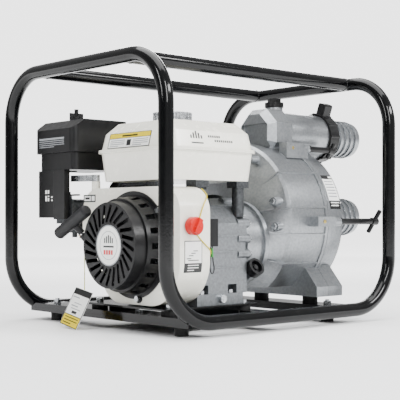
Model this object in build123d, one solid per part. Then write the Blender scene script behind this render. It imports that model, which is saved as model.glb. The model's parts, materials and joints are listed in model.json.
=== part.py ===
from build123d import *
import os
from math import cos, sin, radians

# Gas engine trash pump in a tube cage.
# Axes: +X towards the hose end, -Y the switch side of the engine, +Z up.
# All places are written from the middle of the cage on the ground, and the
# finished pieces are shifted along X so that the origin is under the middle
# of the whole machine.

# ---------- cage ----------
CAGE_LENGTH = 600.4
CAGE_WIDTH = 495.4
CAGE_HEIGHT = 486.7
TUBE_D = 25.4
TUBE_WALL = 2.0
BASE_BEND = 100.0
TOP_BEND = 90.0
RAIL_Z = 24.0
RAIL_JOINT_X = 13.0
TOP_RAIL_Y = 127.6

# ---------- base members ----------
CHANNEL_TOP = 33.0
CHANNEL_BOTTOM = 17.5
SHEET = 3.0
ENGINE_MEMBER_X = -213.0
MIDDLE_MEMBER_X = -40.0
PUMP_MEMBER_X = 159.0
MEMBER_WIDTH = 60.0
MIDDLE_WIDTH = 44.0
BED_TOP = 44.7
BED_X = (-240.0, -18.0)
BED_Y = (-172.0, 62.0)
BED_FLANGE = 22.0
FOOT_R = 14.0
FOOT_INSET = 61.0
STUD_R = 4.0
NUT_R = 7.5
NUT_H = 6.5
ISOLATOR_R = 15.0

# ---------- shaft line ----------
AXIS_Y = -75.0
AXIS_Z = 152.0
SHAFT_R = 12.5
RUN = 0.05          # radial running clearance of a bearing or bush
GAP = 0.3           # clearance between pieces of different moving bodies

# ---------- engine ----------
CASE_X = (-159.0, -60.0)
CASE_Y = (-165.0, 5.0)
CASE_TOP = 236.0
CASE_FOOT_H = 20.0
CASE_WALL = 7.0
HUB_R = 70.0
CRANK_SPACE_R = 62.0
COVER_X = (-60.0, -20.0)
CRANK_PLANE_X = -110.0
STROKE = 54.0
BORE_R = 34.0
LEAN = 25.0         # the cylinder leans this far above level, towards +Y
ROD_LENGTH = 84.0
ROD_WIDTH = 22.0
WEB_T = 14.0
WEB_R = 40.0
BLOCK = 96.0
DECK = 78.0         # crank axis to the foot of the finned cylinder
FIN_END = 142.0
HEAD_END = 172.0
ROCKER_END = 204.0
FIN_T = 3.0
FIN_STEP = 8.0
BARREL_R = 41.0

# ---------- flywheel, shroud and starter ----------
SHROUD_X = (-228.0, -160.0)
SHROUD_Y = (-200.0, 80.0)
SHROUD_Z = (47.0, 254.0)
PLASTIC = 2.5
SHROUD_HOLE_R = 84.0
FLYWHEEL_R = 92.0
FLYWHEEL_X = (-206.0, -184.0)
FAN_BLADES = 20
FAN_DEPTH = 14.0
RECOIL_R = 95.0
RECOIL_FLANGE = 3.0
RECOIL_DRUM_R = 88.0
RECOIL_FRONT_R = 78.0
RECOIL_STEP_X = -262.0
RECOIL_FRONT_X = -283.0
FRONT_SLOTS = 24
SIDE_SLOTS = 20
PULLEY_R = 58.0
PULLEY_X = (-268.0, -254.0)
SPINDLE_R = 8.0
GRIP_CENTRE = (-286.0, 29.5, 192.0)
GRIP_LENGTH = 100.0
GRIP_R = 11.0
GRIP_LEAN = 26.0
PULL = (-0.55, 0.35, 0.76)
ROPE_R = 2.2
GUIDE_R = 8.0
GUIDE_REACH = 28.0

# ---------- fuel tank ----------
TANK_X = (-231.0, -14.0)
TANK_Y = (-173.0, 37.0)
TANK_SEAM_Z = 320.0
TANK_TOP = 372.0
TANK_BOTTOM = 266.0
TANK_CORNER = 30.0
TANK_WALL = 2.5
SEAM_RIM = 5.0
SEAM_T = 3.0
CAP_X = -126.0
CAP_Y = -60.0
CAP_R = 36.0
CAP_H = 19.0
NECK_R = 24.0
NECK_H = 9.0
BRACKET_X = (-146.0, -48.0)
BRACKET_Y = (-152.0, -38.0)
BRACKET_R = 11.0

# ---------- intake and exhaust ----------
LID_X = (-260.0, -130.0)
LID_Y = (65.0, 197.0)
LID_Z = (323.0, 385.0)
LID_FRONT_Z = 367.0
LID_SLOPE = 26.0
LID_CORNER = 14.0
BASE_INSET = 7.0
BASE_Z = 290.0
LOWER_X = (-254.0, -205.0)
LOWER_Y = (132.0, 190.0)
LOWER_Z = 200.0
STUD_TOP = 409.0
CARB_X = (-248.0, -200.0)
CARB_Y = 112.0
CARB_Z = 215.0
CARB_R = 21.0
BOWL_R = 21.0
BOWL_Z = 172.0
PORT_STUB_R = 10.0
CONTROL_POST = (-219.0, 50.0)
CONTROL_Z = (268.0, 280.0)
CONTROL_REACH = 58.0
CONTROL_TURN = 108.0
MUFFLER_X = (-118.0, -6.0)
MUFFLER_Y = (72.0, 182.0)
MUFFLER_Z = (296.0, 362.0)
GUARD_GAP = 6.0
GUARD_T = 1.5

# ---------- switch side ----------
SWITCH_X = -204.0
SWITCH_Z = 186.0
KNOB_R = 15.5
KNOB_T = 14.0
ALERT_X = (-150.0, -128.0)
ALERT_T = 20.0
ALERT_Z = (150.0, 198.0)
WIRE_R = 1.3
FILLER_X = -20.5
FILLER_Y = -140.0
FILLER_Z = 92.0
FILLER_R = 17.0
FILLER_NECK_R = 10.0
FILLER_REACH = 24.0
FILLER_TILT = 30.0

# ---------- pump ----------
ADAPTER_R = 75.0
ADAPTER_X = (-20.0, 30.0)
ADAPTER_WALL = 8.0
DRUM_Y = -27.0
DRUM_Z = 193.0
DRUM_R = 155.0
DRUM_LOW_Z = 66.0
DRUM_EDGE = 5.0
CONE_END_X = 60.0
RIB_T = 3.0
RIB_PROUD = 2.5
RIB_ANGLES = (37.0, 10.0, -9.0, -31.0)
SPLIT_X = 165.0
COVER_END_X = 228.0
CAST_WALL = 7.0
FLANGE_T = 7.0
COVER_R = 151.0
COVER_EDGE = 14.0
GASKET_T = 1.0
NECK_HALF = 36.0
BACK_SCREW_X = 38.0
BACK_SCREW_R = 137.0
BACK_SCREW_ANGLES = (16.0, -4.0, 60.0, 110.0, 170.0)
BOSS_R = 8.0
SUMP_X = (131.0, 205.0)
SUMP_HALF = 110.0
SUMP_Z = (48.0, 67.0, 106.0)
PORT_R = 46.0
PORT_BORE_R = 38.0
PORT_Y = -45.0
PORT_END_X = 290.0
PIPE_GAP = 3.0
DISCHARGE_Z = 369.5
SUCTION_Z = 202.0
BLOCK_X = (100.0, 160.0)
BLOCK_HALF = 48.5
BLOCK_CHAMFER = 16.0
RING_R = 50.5
RING_BACK = 14.0
RING_LIP = 6.0
BARB_FLANGE_T = 6.0
BARB_FLANGE_R = 45.0
BARB_END_X = 384.0
BARB_R = 37.0
BARB_RIDGE_R = 40.0
BARB_BORE_R = 34.0
BARB_RIDGES = 5
PRIME_X = 158.0
PRIME_R = 19.0
PRIME_Z = (424.0, 442.0)
IMPELLER_R = 60.0
IMPELLER_X = (77.0, 111.0)
IMPELLER_VANES = 3
VOLUTE_R = 70.0
VOLUTE_WALL = 6.0
SEAL_R = 22.0

# ---------- swing bolts of the pump cover ----------
SWING_X = 132.0
SWING_PLACES = {"near": (-194.0, 193.0), "top": (-112.0, 338.0), "far": (140.0, 193.0)}
SWING_BOLT_R = 4.0
SWING_EYE_R = 8.0
EYE_H = 10.0
EAR_T = 5.0
PIN_R = 3.5
LUG_R = 9.5
LUG_END_X = 184.0
HANDLE_R = 6.0
HANDLE_END = {"near": 300.0, "top": 262.0, "far": 300.0}
T_BAR = {"near": 53.0, "top": 36.0, "far": 53.0}
T_BAR_R = 4.5

# ---------- hang tag ----------
TAG_X = -267.0
TAG_Y = 19.0
TAG_TOP_Z = 69.5
TAG_WIDTH = 58.0
TAG_LENGTH = 72.0
TAG_T = 0.6
TAG_LEAN = 24.0
TAG_SWING = 9.0
STRING_R = 0.8

TUBE_R = TUBE_D / 2
POST_X = CAGE_LENGTH / 2 - TUBE_R
POST_Y = CAGE_WIDTH / 2 - TUBE_R
TOP_Z = CAGE_HEIGHT - TUBE_R
SHIFT_X = -(BARB_END_X - CAGE_LENGTH / 2) / 2
FOOT_PLACES = [(x, side * (CAGE_WIDTH / 2 - FOOT_INSET))
               for x in (ENGINE_MEMBER_X, PUMP_MEMBER_X) for side in (-1, 1)]
ISOLATOR_PLACES = [(x, y) for x in (ENGINE_MEMBER_X, MIDDLE_MEMBER_X)
                   for y in (BED_Y[0] + 16, BED_Y[1] - 16)]
PUMP_ISOLATORS = [(PUMP_MEMBER_X, AXIS_Y + side * 67) for side in (-1, 1)]
ENGINE_BOLTS = [(x, y) for x in (CASE_X[0] + 16, CASE_X[1] - 14)
                for y in (CASE_Y[0] + 10, CASE_Y[1] + 13)]


# ---------- shape helpers ----------
def block(x, y, z):
    """A box from three (low, high) pairs."""
    middle = ((x[0] + x[1]) / 2, (y[0] + y[1]) / 2, (z[0] + z[1]) / 2)
    return Pos(*middle) * Box(x[1] - x[0], y[1] - y[0], z[1] - z[0])


def rod_x(radius, x, y, z):
    """A round bar along X from x[0] to x[1]."""
    return Pos((x[0] + x[1]) / 2, y, z) * Rot(0, 90, 0) * Cylinder(radius, x[1] - x[0])


def rod_y(radius, x, y, z):
    return Pos(x, (y[0] + y[1]) / 2, z) * Rot(90, 0, 0) * Cylinder(radius, y[1] - y[0])


def rod_z(radius, x, y, z):
    return Pos(x, y, (z[0] + z[1]) / 2) * Cylinder(radius, z[1] - z[0])


def cone_x(r_low, r_high, x, y, z):
    return Pos((x[0] + x[1]) / 2, y, z) * Rot(0, 90, 0) * Cone(r_low, r_high, x[1] - x[0])


def nut_z(x, y, z, radius=NUT_R, height=NUT_H):
    """A hexagon nut or bolt head standing on z."""
    return extrude(Pos(x, y, z) * RegularPolygon(radius, 6), height)


def nut_x(x, y, z, radius, height):
    return extrude(Plane(origin=(x, y, z), x_dir=(0, 1, 0), z_dir=(1, 0, 0))
                   * RegularPolygon(radius, 6), height)


def outline_x(points, x, length, draft=0.0):
    """A (y, z) outline at x, pulled out along +X, or along -X with a negative length."""
    plane = Plane(origin=(x, 0, 0), x_dir=(0, 1, 0), z_dir=(1, 0, 0))
    return extrude(plane * make_face(Polyline(*points, close=True)), length, taper=draft)


def bar_between(start, end, radius):
    """A round bar between two points."""
    a, b = Vector(*start), Vector(*end)
    axis = (b - a).normalized()
    return extrude(Plane(origin=a, z_dir=axis) * Circle(radius), (b - a).length)


def along_cylinder(near, far):
    """The plane at a distance from the crank axis, facing up the leaning cylinder."""
    up = Vector(0, cos(radians(LEAN)), sin(radians(LEAN)))
    origin = Vector(CRANK_PLANE_X, AXIS_Y, AXIS_Z) + up * near
    return Plane(origin=origin, x_dir=(1, 0, 0), z_dir=up), far - near


def leaning_round(radius, near, far):
    plane, length = along_cylinder(near, far)
    return extrude(plane * Circle(radius), length)


def leaning_block(width, height, near, far, corner=8.0):
    plane, length = along_cylinder(near, far)
    return extrude(plane * RectangleRounded(width, height, corner), length)


def rim_points(count, radius, start=0.0):
    """Evenly spaced (y, z) places round the shaft line."""
    for n in range(count):
        turn = radians(start + 360 * n / count)
        yield AXIS_Y + radius * cos(turn), AXIS_Z + radius * sin(turn)


# ---------- cage ----------
def hoop(side, radius):
    """One end of the cage: base rail, bend, post, top bar and back down."""
    x = side * POST_X
    half_way = (RAIL_Z + TOP_Z) / 2
    edges = []
    for y in (-POST_Y, POST_Y):
        leg = FilletPolyline((RAIL_JOINT_X, y, RAIL_Z), (x, y, RAIL_Z), (x, y, half_way),
                             radius=BASE_BEND)
        edges += leg.edges()
    arch = FilletPolyline((x, -POST_Y, half_way), (x, -POST_Y, TOP_Z), (x, POST_Y, TOP_Z),
                          (x, POST_Y, half_way), radius=TOP_BEND)
    edges += arch.edges()
    start = Plane(origin=(RAIL_JOINT_X, -POST_Y, RAIL_Z), z_dir=(side, 0, 0))
    return sweep(start * Circle(radius), path=Wire(edges))


def frame_hoop(side):
    return hoop(side, TUBE_R) - hoop(side, TUBE_R - TUBE_WALL)


def top_rails():
    rails = []
    for side in (-1, 1):
        rail = rod_x(TUBE_R, (-POST_X, POST_X), side * TOP_RAIL_Y, TOP_Z)
        rail -= rod_x(TUBE_R - TUBE_WALL, (-POST_X, POST_X), side * TOP_RAIL_Y, TOP_Z)
        for x in (-POST_X, POST_X):
            rail -= rod_y(TUBE_R, x, (-POST_Y, POST_Y), TOP_Z)
        rails.append(rail.solid())
    return Compound(children=rails)


def cross_member(middle, width, outer_tubes):
    """A pressed channel, open below, coped onto the base rails."""
    x = (middle - width / 2, middle + width / 2)
    y = (-POST_Y, POST_Y)
    channel = block(x, y, (CHANNEL_BOTTOM, CHANNEL_TOP))
    channel -= block((x[0] + SHEET, x[1] - SHEET), y, (CHANNEL_BOTTOM, CHANNEL_TOP - SHEET))
    channel -= outer_tubes
    for place in FOOT_PLACES + ISOLATOR_PLACES + PUMP_ISOLATORS:
        if x[0] < place[0] < x[1]:
            channel -= rod_z(STUD_R, place[0], place[1], (0, CHANNEL_TOP))
    return channel.solids().sort_by(SortBy.VOLUME)[-1]


def cross_members():
    outer_tubes = hoop(-1, TUBE_R) + hoop(1, TUBE_R)
    return Compound(children=[
        cross_member(ENGINE_MEMBER_X, MEMBER_WIDTH, outer_tubes),
        cross_member(MIDDLE_MEMBER_X, MIDDLE_WIDTH, outer_tubes),
        cross_member(PUMP_MEMBER_X, MEMBER_WIDTH, outer_tubes),
    ])


def bed_plate():
    """The plate under the engine, with its long edges turned down between the members."""
    plate = block(BED_X, BED_Y, (BED_TOP - SHEET, BED_TOP))
    edge_x = (ENGINE_MEMBER_X + MEMBER_WIDTH / 2 + SHEET, MIDDLE_MEMBER_X - MIDDLE_WIDTH / 2 - SHEET)
    for y in ((BED_Y[0], BED_Y[0] + SHEET), (BED_Y[1] - SHEET, BED_Y[1])):
        plate += block(edge_x, y, (BED_TOP - BED_FLANGE, BED_TOP))
    for x, y in ISOLATOR_PLACES + ENGINE_BOLTS:
        plate -= rod_z(STUD_R, x, y, (0, BED_TOP))
    return plate.solid()


def rubber_feet():
    feet = []
    for x, y in FOOT_PLACES:
        foot = Pos(x, y, (CHANNEL_TOP - SHEET) / 2) * Cone(FOOT_R - 2, FOOT_R, CHANNEL_TOP - SHEET)
        feet.append(foot - rod_z(STUD_R, x, y, (NUT_H, CHANNEL_TOP)))
    return Compound(children=feet)


def isolators():
    """Rubber blocks between the members and what they carry."""
    blocks = []
    for x, y in ISOLATOR_PLACES:
        rubber = rod_z(ISOLATOR_R, x, y, (CHANNEL_TOP, BED_TOP - SHEET))
        blocks.append(rubber - rod_z(STUD_R, x, y, (CHANNEL_TOP, BED_TOP)))
    for x, y in PUMP_ISOLATORS:
        rubber = rod_z(ISOLATOR_R, x, y, (CHANNEL_TOP, SUMP_Z[0]))
        blocks.append(rubber - rod_z(STUD_R, x, y, (CHANNEL_TOP, SUMP_Z[0])))
    return Compound(children=blocks)


def frame_fasteners():
    """Studs and nuts of the feet, the isolators and the engine foot."""
    pieces = []
    for x, y in FOOT_PLACES:
        stud = rod_z(STUD_R, x, y, (NUT_H, CHANNEL_TOP + NUT_H + 3))
        pieces.append((stud + nut_z(x, y, CHANNEL_TOP)).solid())
    for x, y in ISOLATOR_PLACES:
        low = CHANNEL_TOP - SHEET - NUT_H
        stud = rod_z(STUD_R, x, y, (low, BED_TOP + NUT_H))
        stud += nut_z(x, y, low) + nut_z(x, y, BED_TOP)
        pieces.append(stud.solid())
    for x, y in PUMP_ISOLATORS:
        low = CHANNEL_TOP - SHEET - NUT_H
        pieces.append((rod_z(STUD_R, x, y, (low, SUMP_Z[0])) + nut_z(x, y, low)).solid())
    for x, y in ENGINE_BOLTS:
        foot_top = BED_TOP + CASE_FOOT_H
        low = BED_TOP - SHEET - NUT_H
        bolt = rod_z(STUD_R, x, y, (low, foot_top)) + nut_z(x, y, low) + nut_z(x, y, foot_top)
        pieces.append(bolt.solid())
    return Compound(children=pieces)


# ---------- engine ----------
def case_outline(grow=0.0):
    """The crankcase seen along the shaft, as (y, z) points."""
    near, far = CASE_Y[0] - grow, CASE_Y[1] + grow
    low, high = BED_TOP + CASE_FOOT_H - 2, CASE_TOP + grow
    return [(near, low), (near, high - 46), (near + 26, high - 14), (near + 62, high),
            (far - 20, high), (far, high - 20), (far, low)]


def crankcase():
    body = outline_x(case_outline(), CASE_X[0], CASE_X[1] - CASE_X[0])
    body += leaning_block(BLOCK, BLOCK, 30, DECK)
    body -= leaning_block(2 * BLOCK, 2 * BLOCK, DECK, ROCKER_END)
    body += block((CASE_X[0], CASE_X[1] + 12), (CASE_Y[0] - 1, CASE_Y[1] + 25),
                  (BED_TOP, BED_TOP + CASE_FOOT_H))
    body += rod_x(HUB_R, (FLYWHEEL_X[1] + 4, CASE_X[0]), AXIS_Y, AXIS_Z)
    body -= rod_x(CRANK_SPACE_R, (CASE_X[0] + CASE_WALL, CASE_X[1]), AXIS_Y, AXIS_Z)
    body -= leaning_round(BARREL_R, 0, DECK)
    body -= rod_x(SHAFT_R + RUN, (FLYWHEEL_X[1], CASE_X[1]), AXIS_Y, AXIS_Z)
    foot_top = BED_TOP + CASE_FOOT_H
    for x, y in ENGINE_BOLTS:
        body -= rod_z(STUD_R, x, y, (BED_TOP, foot_top))
        if y < AXIS_Y:
            body -= block((x - 11, x + 11), (y - 12, y + 11), (foot_top, foot_top + 16))
    for z in (110, 138, 166):
        body += block((CASE_X[0] + 8, CASE_X[1] - 6), (CASE_Y[0] - 3, CASE_Y[0] + 1), (z, z + 3))
    return body.solid()


def crankcase_cover():
    """The cover on the pump side, with its bearing boss and bolt ears."""
    body = outline_x(case_outline(), COVER_X[0], 22)
    body += cone_x(92, 72, (COVER_X[0] + 20, COVER_X[1] - 6), AXIS_Y, AXIS_Z)
    body += rod_x(ADAPTER_R - 8, (COVER_X[1] - 8, COVER_X[1]), AXIS_Y, AXIS_Z)
    body -= block(COVER_X, (CASE_Y[0] - 30, CASE_Y[1] + 40),
                  (0, BED_TOP + CASE_FOOT_H))
    body -= rod_x(CRANK_SPACE_R - 12, (COVER_X[0], COVER_X[0] + 16), AXIS_Y, AXIS_Z)
    body -= rod_x(SHAFT_R + RUN, COVER_X, AXIS_Y, AXIS_Z)
    for y, z in cover_ears():
        body += rod_x(9, (COVER_X[0], COVER_X[0] + 30), y, z)
    body += filler_axis_round(FILLER_R - 3, -20, FILLER_REACH)
    body -= filler_axis_round(FILLER_NECK_R, -14, FILLER_REACH)
    return body.solids().sort_by(SortBy.VOLUME)[-1]


def cover_ears():
    near = CASE_Y[0] + 6
    return [(near, 134), (near, 162), (near + 2, 190), (near + 40, CASE_TOP - 8),
            (CASE_Y[1] - 2, 196), (CASE_Y[1] - 8, 110)]


def cylinder():
    body = leaning_round(BARREL_R, 52, FIN_END)
    at = DECK
    while at + FIN_T < FIN_END:
        body += leaning_block(BLOCK, BLOCK, at, at + FIN_T)
        at += FIN_STEP
    body -= leaning_round(BORE_R, 0, FIN_END)
    return body.solid()


def cylinder_head():
    body = leaning_block(BLOCK, BLOCK, FIN_END, HEAD_END)
    for n in range(3):
        plane, _ = along_cylinder(FIN_END + 6 + n * FIN_STEP, 0)
        groove = extrude(plane * Rectangle(BLOCK + 2, BLOCK + 2), 4)
        groove -= extrude(plane * Rectangle(BLOCK - 18, BLOCK - 18), 4)
        body -= groove
    body -= leaning_round(BORE_R, FIN_END, FIN_END + 4)
    body -= plug_axis_round(7, 0, 60)
    return body.solid()


def plug_axis_round(radius, near, far):
    """A round along the spark plug, which enters the head from the +Y side at a slant."""
    base, _ = along_cylinder(HEAD_END - 14, 0)
    across = Vector(0, sin(radians(LEAN)), -cos(radians(LEAN)))
    start = base.origin + across * (BLOCK / 2 - 30)
    return extrude(Plane(origin=start + across * near, z_dir=across) * Circle(radius), far - near)


def spark_plug():
    plug = plug_axis_round(7, 4, 34) + plug_axis_round(11, 31, 45) + plug_axis_round(8, 45, 72)
    return plug.solid()


def rocker_cover():
    body = leaning_block(BLOCK - 14, BLOCK - 22, HEAD_END, ROCKER_END, corner=12)
    body -= leaning_block(BLOCK - 24, BLOCK - 32, HEAD_END, ROCKER_END - 4, corner=8)
    return body.solid()


def crankshaft():
    """Both halves of the crank; the crank pin between the webs is carried by the rod."""
    webs = []
    half = ROD_WIDTH / 2 + GAP
    spans = {-1: (FLYWHEEL_X[0] - 6, CRANK_PLANE_X - half),
             1: (CRANK_PLANE_X + half, IMPELLER_X[1] - 8)}
    for side, span in spans.items():
        web_x = sorted((CRANK_PLANE_X + side * half, CRANK_PLANE_X + side * (half + WEB_T)))
        web = rod_x(WEB_R, web_x, AXIS_Y, AXIS_Z)
        webs.append((web + rod_x(SHAFT_R, span, AXIS_Y, AXIS_Z)).solid())
    return Compound(children=webs)


def connecting_rod():
    """Rod and crank pin in the middle of the webs' gap, at the top of the stroke."""
    throw = STROKE / 2
    small = throw + ROD_LENGTH
    width = ROD_WIDTH

    def eye(radius, at, wide):
        plane, _ = along_cylinder(at, 0)
        centre = plane.origin
        return Pos(*centre) * Rot(0, 90, 0) * Cylinder(radius, wide)

    plane, length = along_cylinder(throw + 10, small - 8)
    rod = extrude(plane * Rectangle(10, 18), length)
    rod += eye(22, throw, width) + eye(12, small, 18)
    rod -= eye(9 + RUN, small, width + 2)
    return rod.solid()


def piston():
    """Piston and its cross pin."""
    small = STROKE / 2 + ROD_LENGTH
    body = leaning_round(BORE_R - RUN, small - 16, small + 20)
    body -= leaning_round(BORE_R - 5, small - 16, small + 13)
    for groove in (5, 10):
        plane, length = along_cylinder(small + 20 - groove - 2, small + 20 - groove)
        body -= extrude(plane * Circle(BORE_R), length) - extrude(plane * Circle(BORE_R - 2), length)
    plane, _ = along_cylinder(small, 0)
    pin = Pos(*plane.origin) * Rot(0, 90, 0) * Cylinder(9, 2 * BORE_R - 8)
    return (body + pin).solid()


def flywheel():
    body = rod_x(FLYWHEEL_R, FLYWHEEL_X, AXIS_Y, AXIS_Z)
    body -= rod_x(FLYWHEEL_R - 14, (FLYWHEEL_X[0] + 8, FLYWHEEL_X[1]), AXIS_Y, AXIS_Z)
    body += rod_x(SHAFT_R + 10, (FLYWHEEL_X[0] - 6, FLYWHEEL_X[1] + 3), AXIS_Y, AXIS_Z)
    front = FLYWHEEL_X[0]
    blade = block((front - FAN_DEPTH, front + 1), (AXIS_Y + 52, AXIS_Y + 88), (AXIS_Z, AXIS_Z + 2.5))
    centre = Axis((0, AXIS_Y, AXIS_Z), (1, 0, 0))
    for n in range(FAN_BLADES):
        body += blade.rotate(centre, 360 * n / FAN_BLADES)
    body += rod_x(46, (front - 26, front), AXIS_Y, AXIS_Z) - rod_x(42, (front - 26, front), AXIS_Y, AXIS_Z)
    body -= rod_x(SHAFT_R, (FLYWHEEL_X[0] - 6, FLYWHEEL_X[1] + 3), AXIS_Y, AXIS_Z)
    return body.solid()


def shroud_shell(x, inset):
    """The blower housing's outline: round at the switch side, slanting to the cylinder side."""
    near, far = SHROUD_Y[0] + inset, SHROUD_Y[1] - inset
    low, high = SHROUD_Z[0] + inset, SHROUD_Z[1] - inset
    plane = Plane(origin=(x[0], 0, 0), x_dir=(0, 1, 0), z_dir=(1, 0, 0))
    points = [(near, low), (near, high), (far, high), (far, high - 79 + 2 * inset),
              (far - 85, low)]
    face = make_face(Polyline(*points, close=True))
    radii = [80, 45, 45, 20, 60]
    for corner, radius in zip(points, radii):
        vertex = face.vertices().sort_by_distance((corner[0], corner[1], 0))[0]
        face = fillet(vertex, radius - inset)
    return extrude(plane * face, x[1] - x[0])


def blower_shroud():
    body = shroud_shell(SHROUD_X, 0)
    body -= shroud_shell((SHROUD_X[0] + PLASTIC, SHROUD_X[1]), PLASTIC)
    body -= rod_x(SHROUD_HOLE_R, (SHROUD_X[0] - 1, SHROUD_X[0] + PLASTIC + 1), AXIS_Y, AXIS_Z)
    body -= rod_y(8, SWITCH_X, (SHROUD_Y[0] - 1, SHROUD_Y[0] + PLASTIC + 1), SWITCH_Z)
    x, y = CONTROL_POST
    post = rod_z(4, x, y, (SHROUD_Z[1] - 14, CONTROL_Z[1]))
    post += rod_z(8, x, y, (SHROUD_Z[1] - 8, CONTROL_Z[0] - GAP))
    body += post - shroud_shell((SHROUD_X[0] + PLASTIC, SHROUD_X[1]), PLASTIC)
    return body.solids().sort_by(SortBy.VOLUME)[-1]


def guide_start():
    """Where the rope leaves the starter, on the line of pull."""
    centre, pull = Vector(*GRIP_CENTRE), Vector(*PULL).normalized()
    return centre - pull * GUIDE_REACH, pull


def recoil_ears():
    return rim_points(3, RECOIL_R, start=20)


def recoil_cover():
    """Starter cover: flange, louvred drum and the slotted front disc."""
    back = SHROUD_X[0]
    body = rod_x(RECOIL_R, (back - RECOIL_FLANGE, back), AXIS_Y, AXIS_Z)
    for y, z in recoil_ears():
        body += rod_x(8, (back - RECOIL_FLANGE, back), y, z)
    body += cone_x(RECOIL_FRONT_R + 4, RECOIL_DRUM_R, (RECOIL_STEP_X, back), AXIS_Y, AXIS_Z)
    body += cone_x(RECOIL_FRONT_R - 3, RECOIL_FRONT_R, (RECOIL_FRONT_X, RECOIL_STEP_X), AXIS_Y, AXIS_Z)
    exit_point, pull = guide_start()
    inner = exit_point - pull * 24
    body += bar_between(inner, exit_point, GUIDE_R)
    body -= rod_x(RECOIL_DRUM_R - 6, (RECOIL_STEP_X + 4, back), AXIS_Y, AXIS_Z)
    body -= rod_x(RECOIL_FRONT_R - 6, (RECOIL_FRONT_X + 3, RECOIL_STEP_X + 5), AXIS_Y, AXIS_Z)
    centre = Axis((0, AXIS_Y, AXIS_Z), (1, 0, 0))
    slot = Pos(RECOIL_FRONT_X, AXIS_Y + 55, AXIS_Z) * Rot(24, 0, 0) * Box(8, 33, 6.5)
    for n in range(FRONT_SLOTS):
        body -= slot.rotate(centre, 360 * n / FRONT_SLOTS)
    louvre = block((RECOIL_STEP_X + 8, back - RECOIL_FLANGE - 5), (AXIS_Y + 60, AXIS_Y + 100),
                   (AXIS_Z - 5, AXIS_Z + 5))
    for n in range(SIDE_SLOTS):
        if n != 1:
            body -= louvre.rotate(centre, 360 * n / SIDE_SLOTS)
    body += rod_x(SPINDLE_R, (RECOIL_FRONT_X, PULLEY_X[1] + 4), AXIS_Y, AXIS_Z)
    body -= bar_between(inner - pull * 10, exit_point + pull, ROPE_R + GAP)
    return body.solid()


def recoil_pulley():
    """Rope pulley of the starter, turning on the cover's spindle."""
    body = rod_x(PULLEY_R, PULLEY_X, AXIS_Y, AXIS_Z)
    groove_x = (PULLEY_X[0] + 3, PULLEY_X[1] - 3)
    body -= rod_x(PULLEY_R, groove_x, AXIS_Y, AXIS_Z) - rod_x(PULLEY_R - 18, groove_x, AXIS_Y, AXIS_Z)
    body -= rod_x(SPINDLE_R + RUN, PULLEY_X, AXIS_Y, AXIS_Z)
    return body.solid()


def recoil_grip():
    """T grip: a flattened bar with a short neck to the rope."""
    y, z = GRIP_CENTRE[1], GRIP_CENTRE[2]
    turn = radians(GRIP_LEAN)
    along = Vector(0, -cos(turn), sin(turn))
    centre = Vector(GRIP_CENTRE[0], y, z)
    half = GRIP_LENGTH / 2
    bar = bar_between(centre - along * half, centre + along * half, GRIP_R)
    bar = fillet(bar.edges(), GRIP_R * 0.45)
    pull = Vector(*PULL).normalized()
    neck = bar_between(centre - pull * (GUIDE_REACH - 2), centre, GUIDE_R * 0.8)
    body = bar + neck
    body -= bar_between(centre - pull * GUIDE_REACH, centre, ROPE_R)
    return body.solid()


def recoil_rope():
    centre, pull = Vector(*GRIP_CENTRE), Vector(*PULL).normalized()
    return bar_between(centre - pull * (GUIDE_REACH + 22), centre, ROPE_R)


def engine_screws():
    """Screws of the starter, shroud and crankcase cover, and the oil drain bolt."""
    pieces = []
    flange = SHROUD_X[0] - RECOIL_FLANGE
    for y, z in recoil_ears():
        pieces.append(nut_x(flange - 5, y, z, 5.5, 5))
    for y, z in cover_ears():
        pieces.append(nut_x(COVER_X[0] + 30, y, z, 6.5, 6))
    drain = Plane(origin=(-102, CASE_Y[0] - 1, 56), z_dir=(0, -1, 0))
    pieces.append(extrude(drain * RegularPolygon(7.5, 6), 8))
    return Compound(children=pieces)


# ---------- fuel tank ----------
def tank_plan(z, inset):
    x, y = TANK_X, TANK_Y
    middle = Pos((x[0] + x[1]) / 2, (y[0] + y[1]) / 2, z)
    return middle * RectangleRounded(x[1] - x[0] - 2 * inset, y[1] - y[0] - 2 * inset,
                                     TANK_CORNER - min(inset, TANK_CORNER / 2))


def tank_upper_form(inset):
    shoulder = (TANK_TOP - TANK_SEAM_Z) * 0.62
    side = extrude(tank_plan(TANK_SEAM_Z, inset), shoulder, taper=14)
    lean_in = shoulder * 0.249
    crown = extrude(tank_plan(TANK_SEAM_Z + shoulder, inset + lean_in),
                    TANK_TOP - TANK_SEAM_Z - shoulder - inset, taper=50)
    return side + crown


def tank_upper():
    body = tank_upper_form(0)
    body += extrude(tank_plan(TANK_SEAM_Z, -SEAM_RIM), SEAM_T)
    body -= tank_upper_form(TANK_WALL)
    body += rod_z(NECK_R, CAP_X, CAP_Y, (TANK_TOP - 4, TANK_TOP + NECK_H))
    body -= rod_z(NECK_R - 3, CAP_X, CAP_Y, (TANK_TOP - 6, TANK_TOP + NECK_H))
    return body.solid()


def tank_lower():
    depth = TANK_SEAM_Z - TANK_BOTTOM
    body = extrude(tank_plan(TANK_SEAM_Z, 0), -depth, taper=8)
    body += extrude(tank_plan(TANK_SEAM_Z, -SEAM_RIM), -SEAM_T)
    body -= extrude(tank_plan(TANK_SEAM_Z, TANK_WALL), -(depth - TANK_WALL), taper=8)
    return body.solid()


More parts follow.
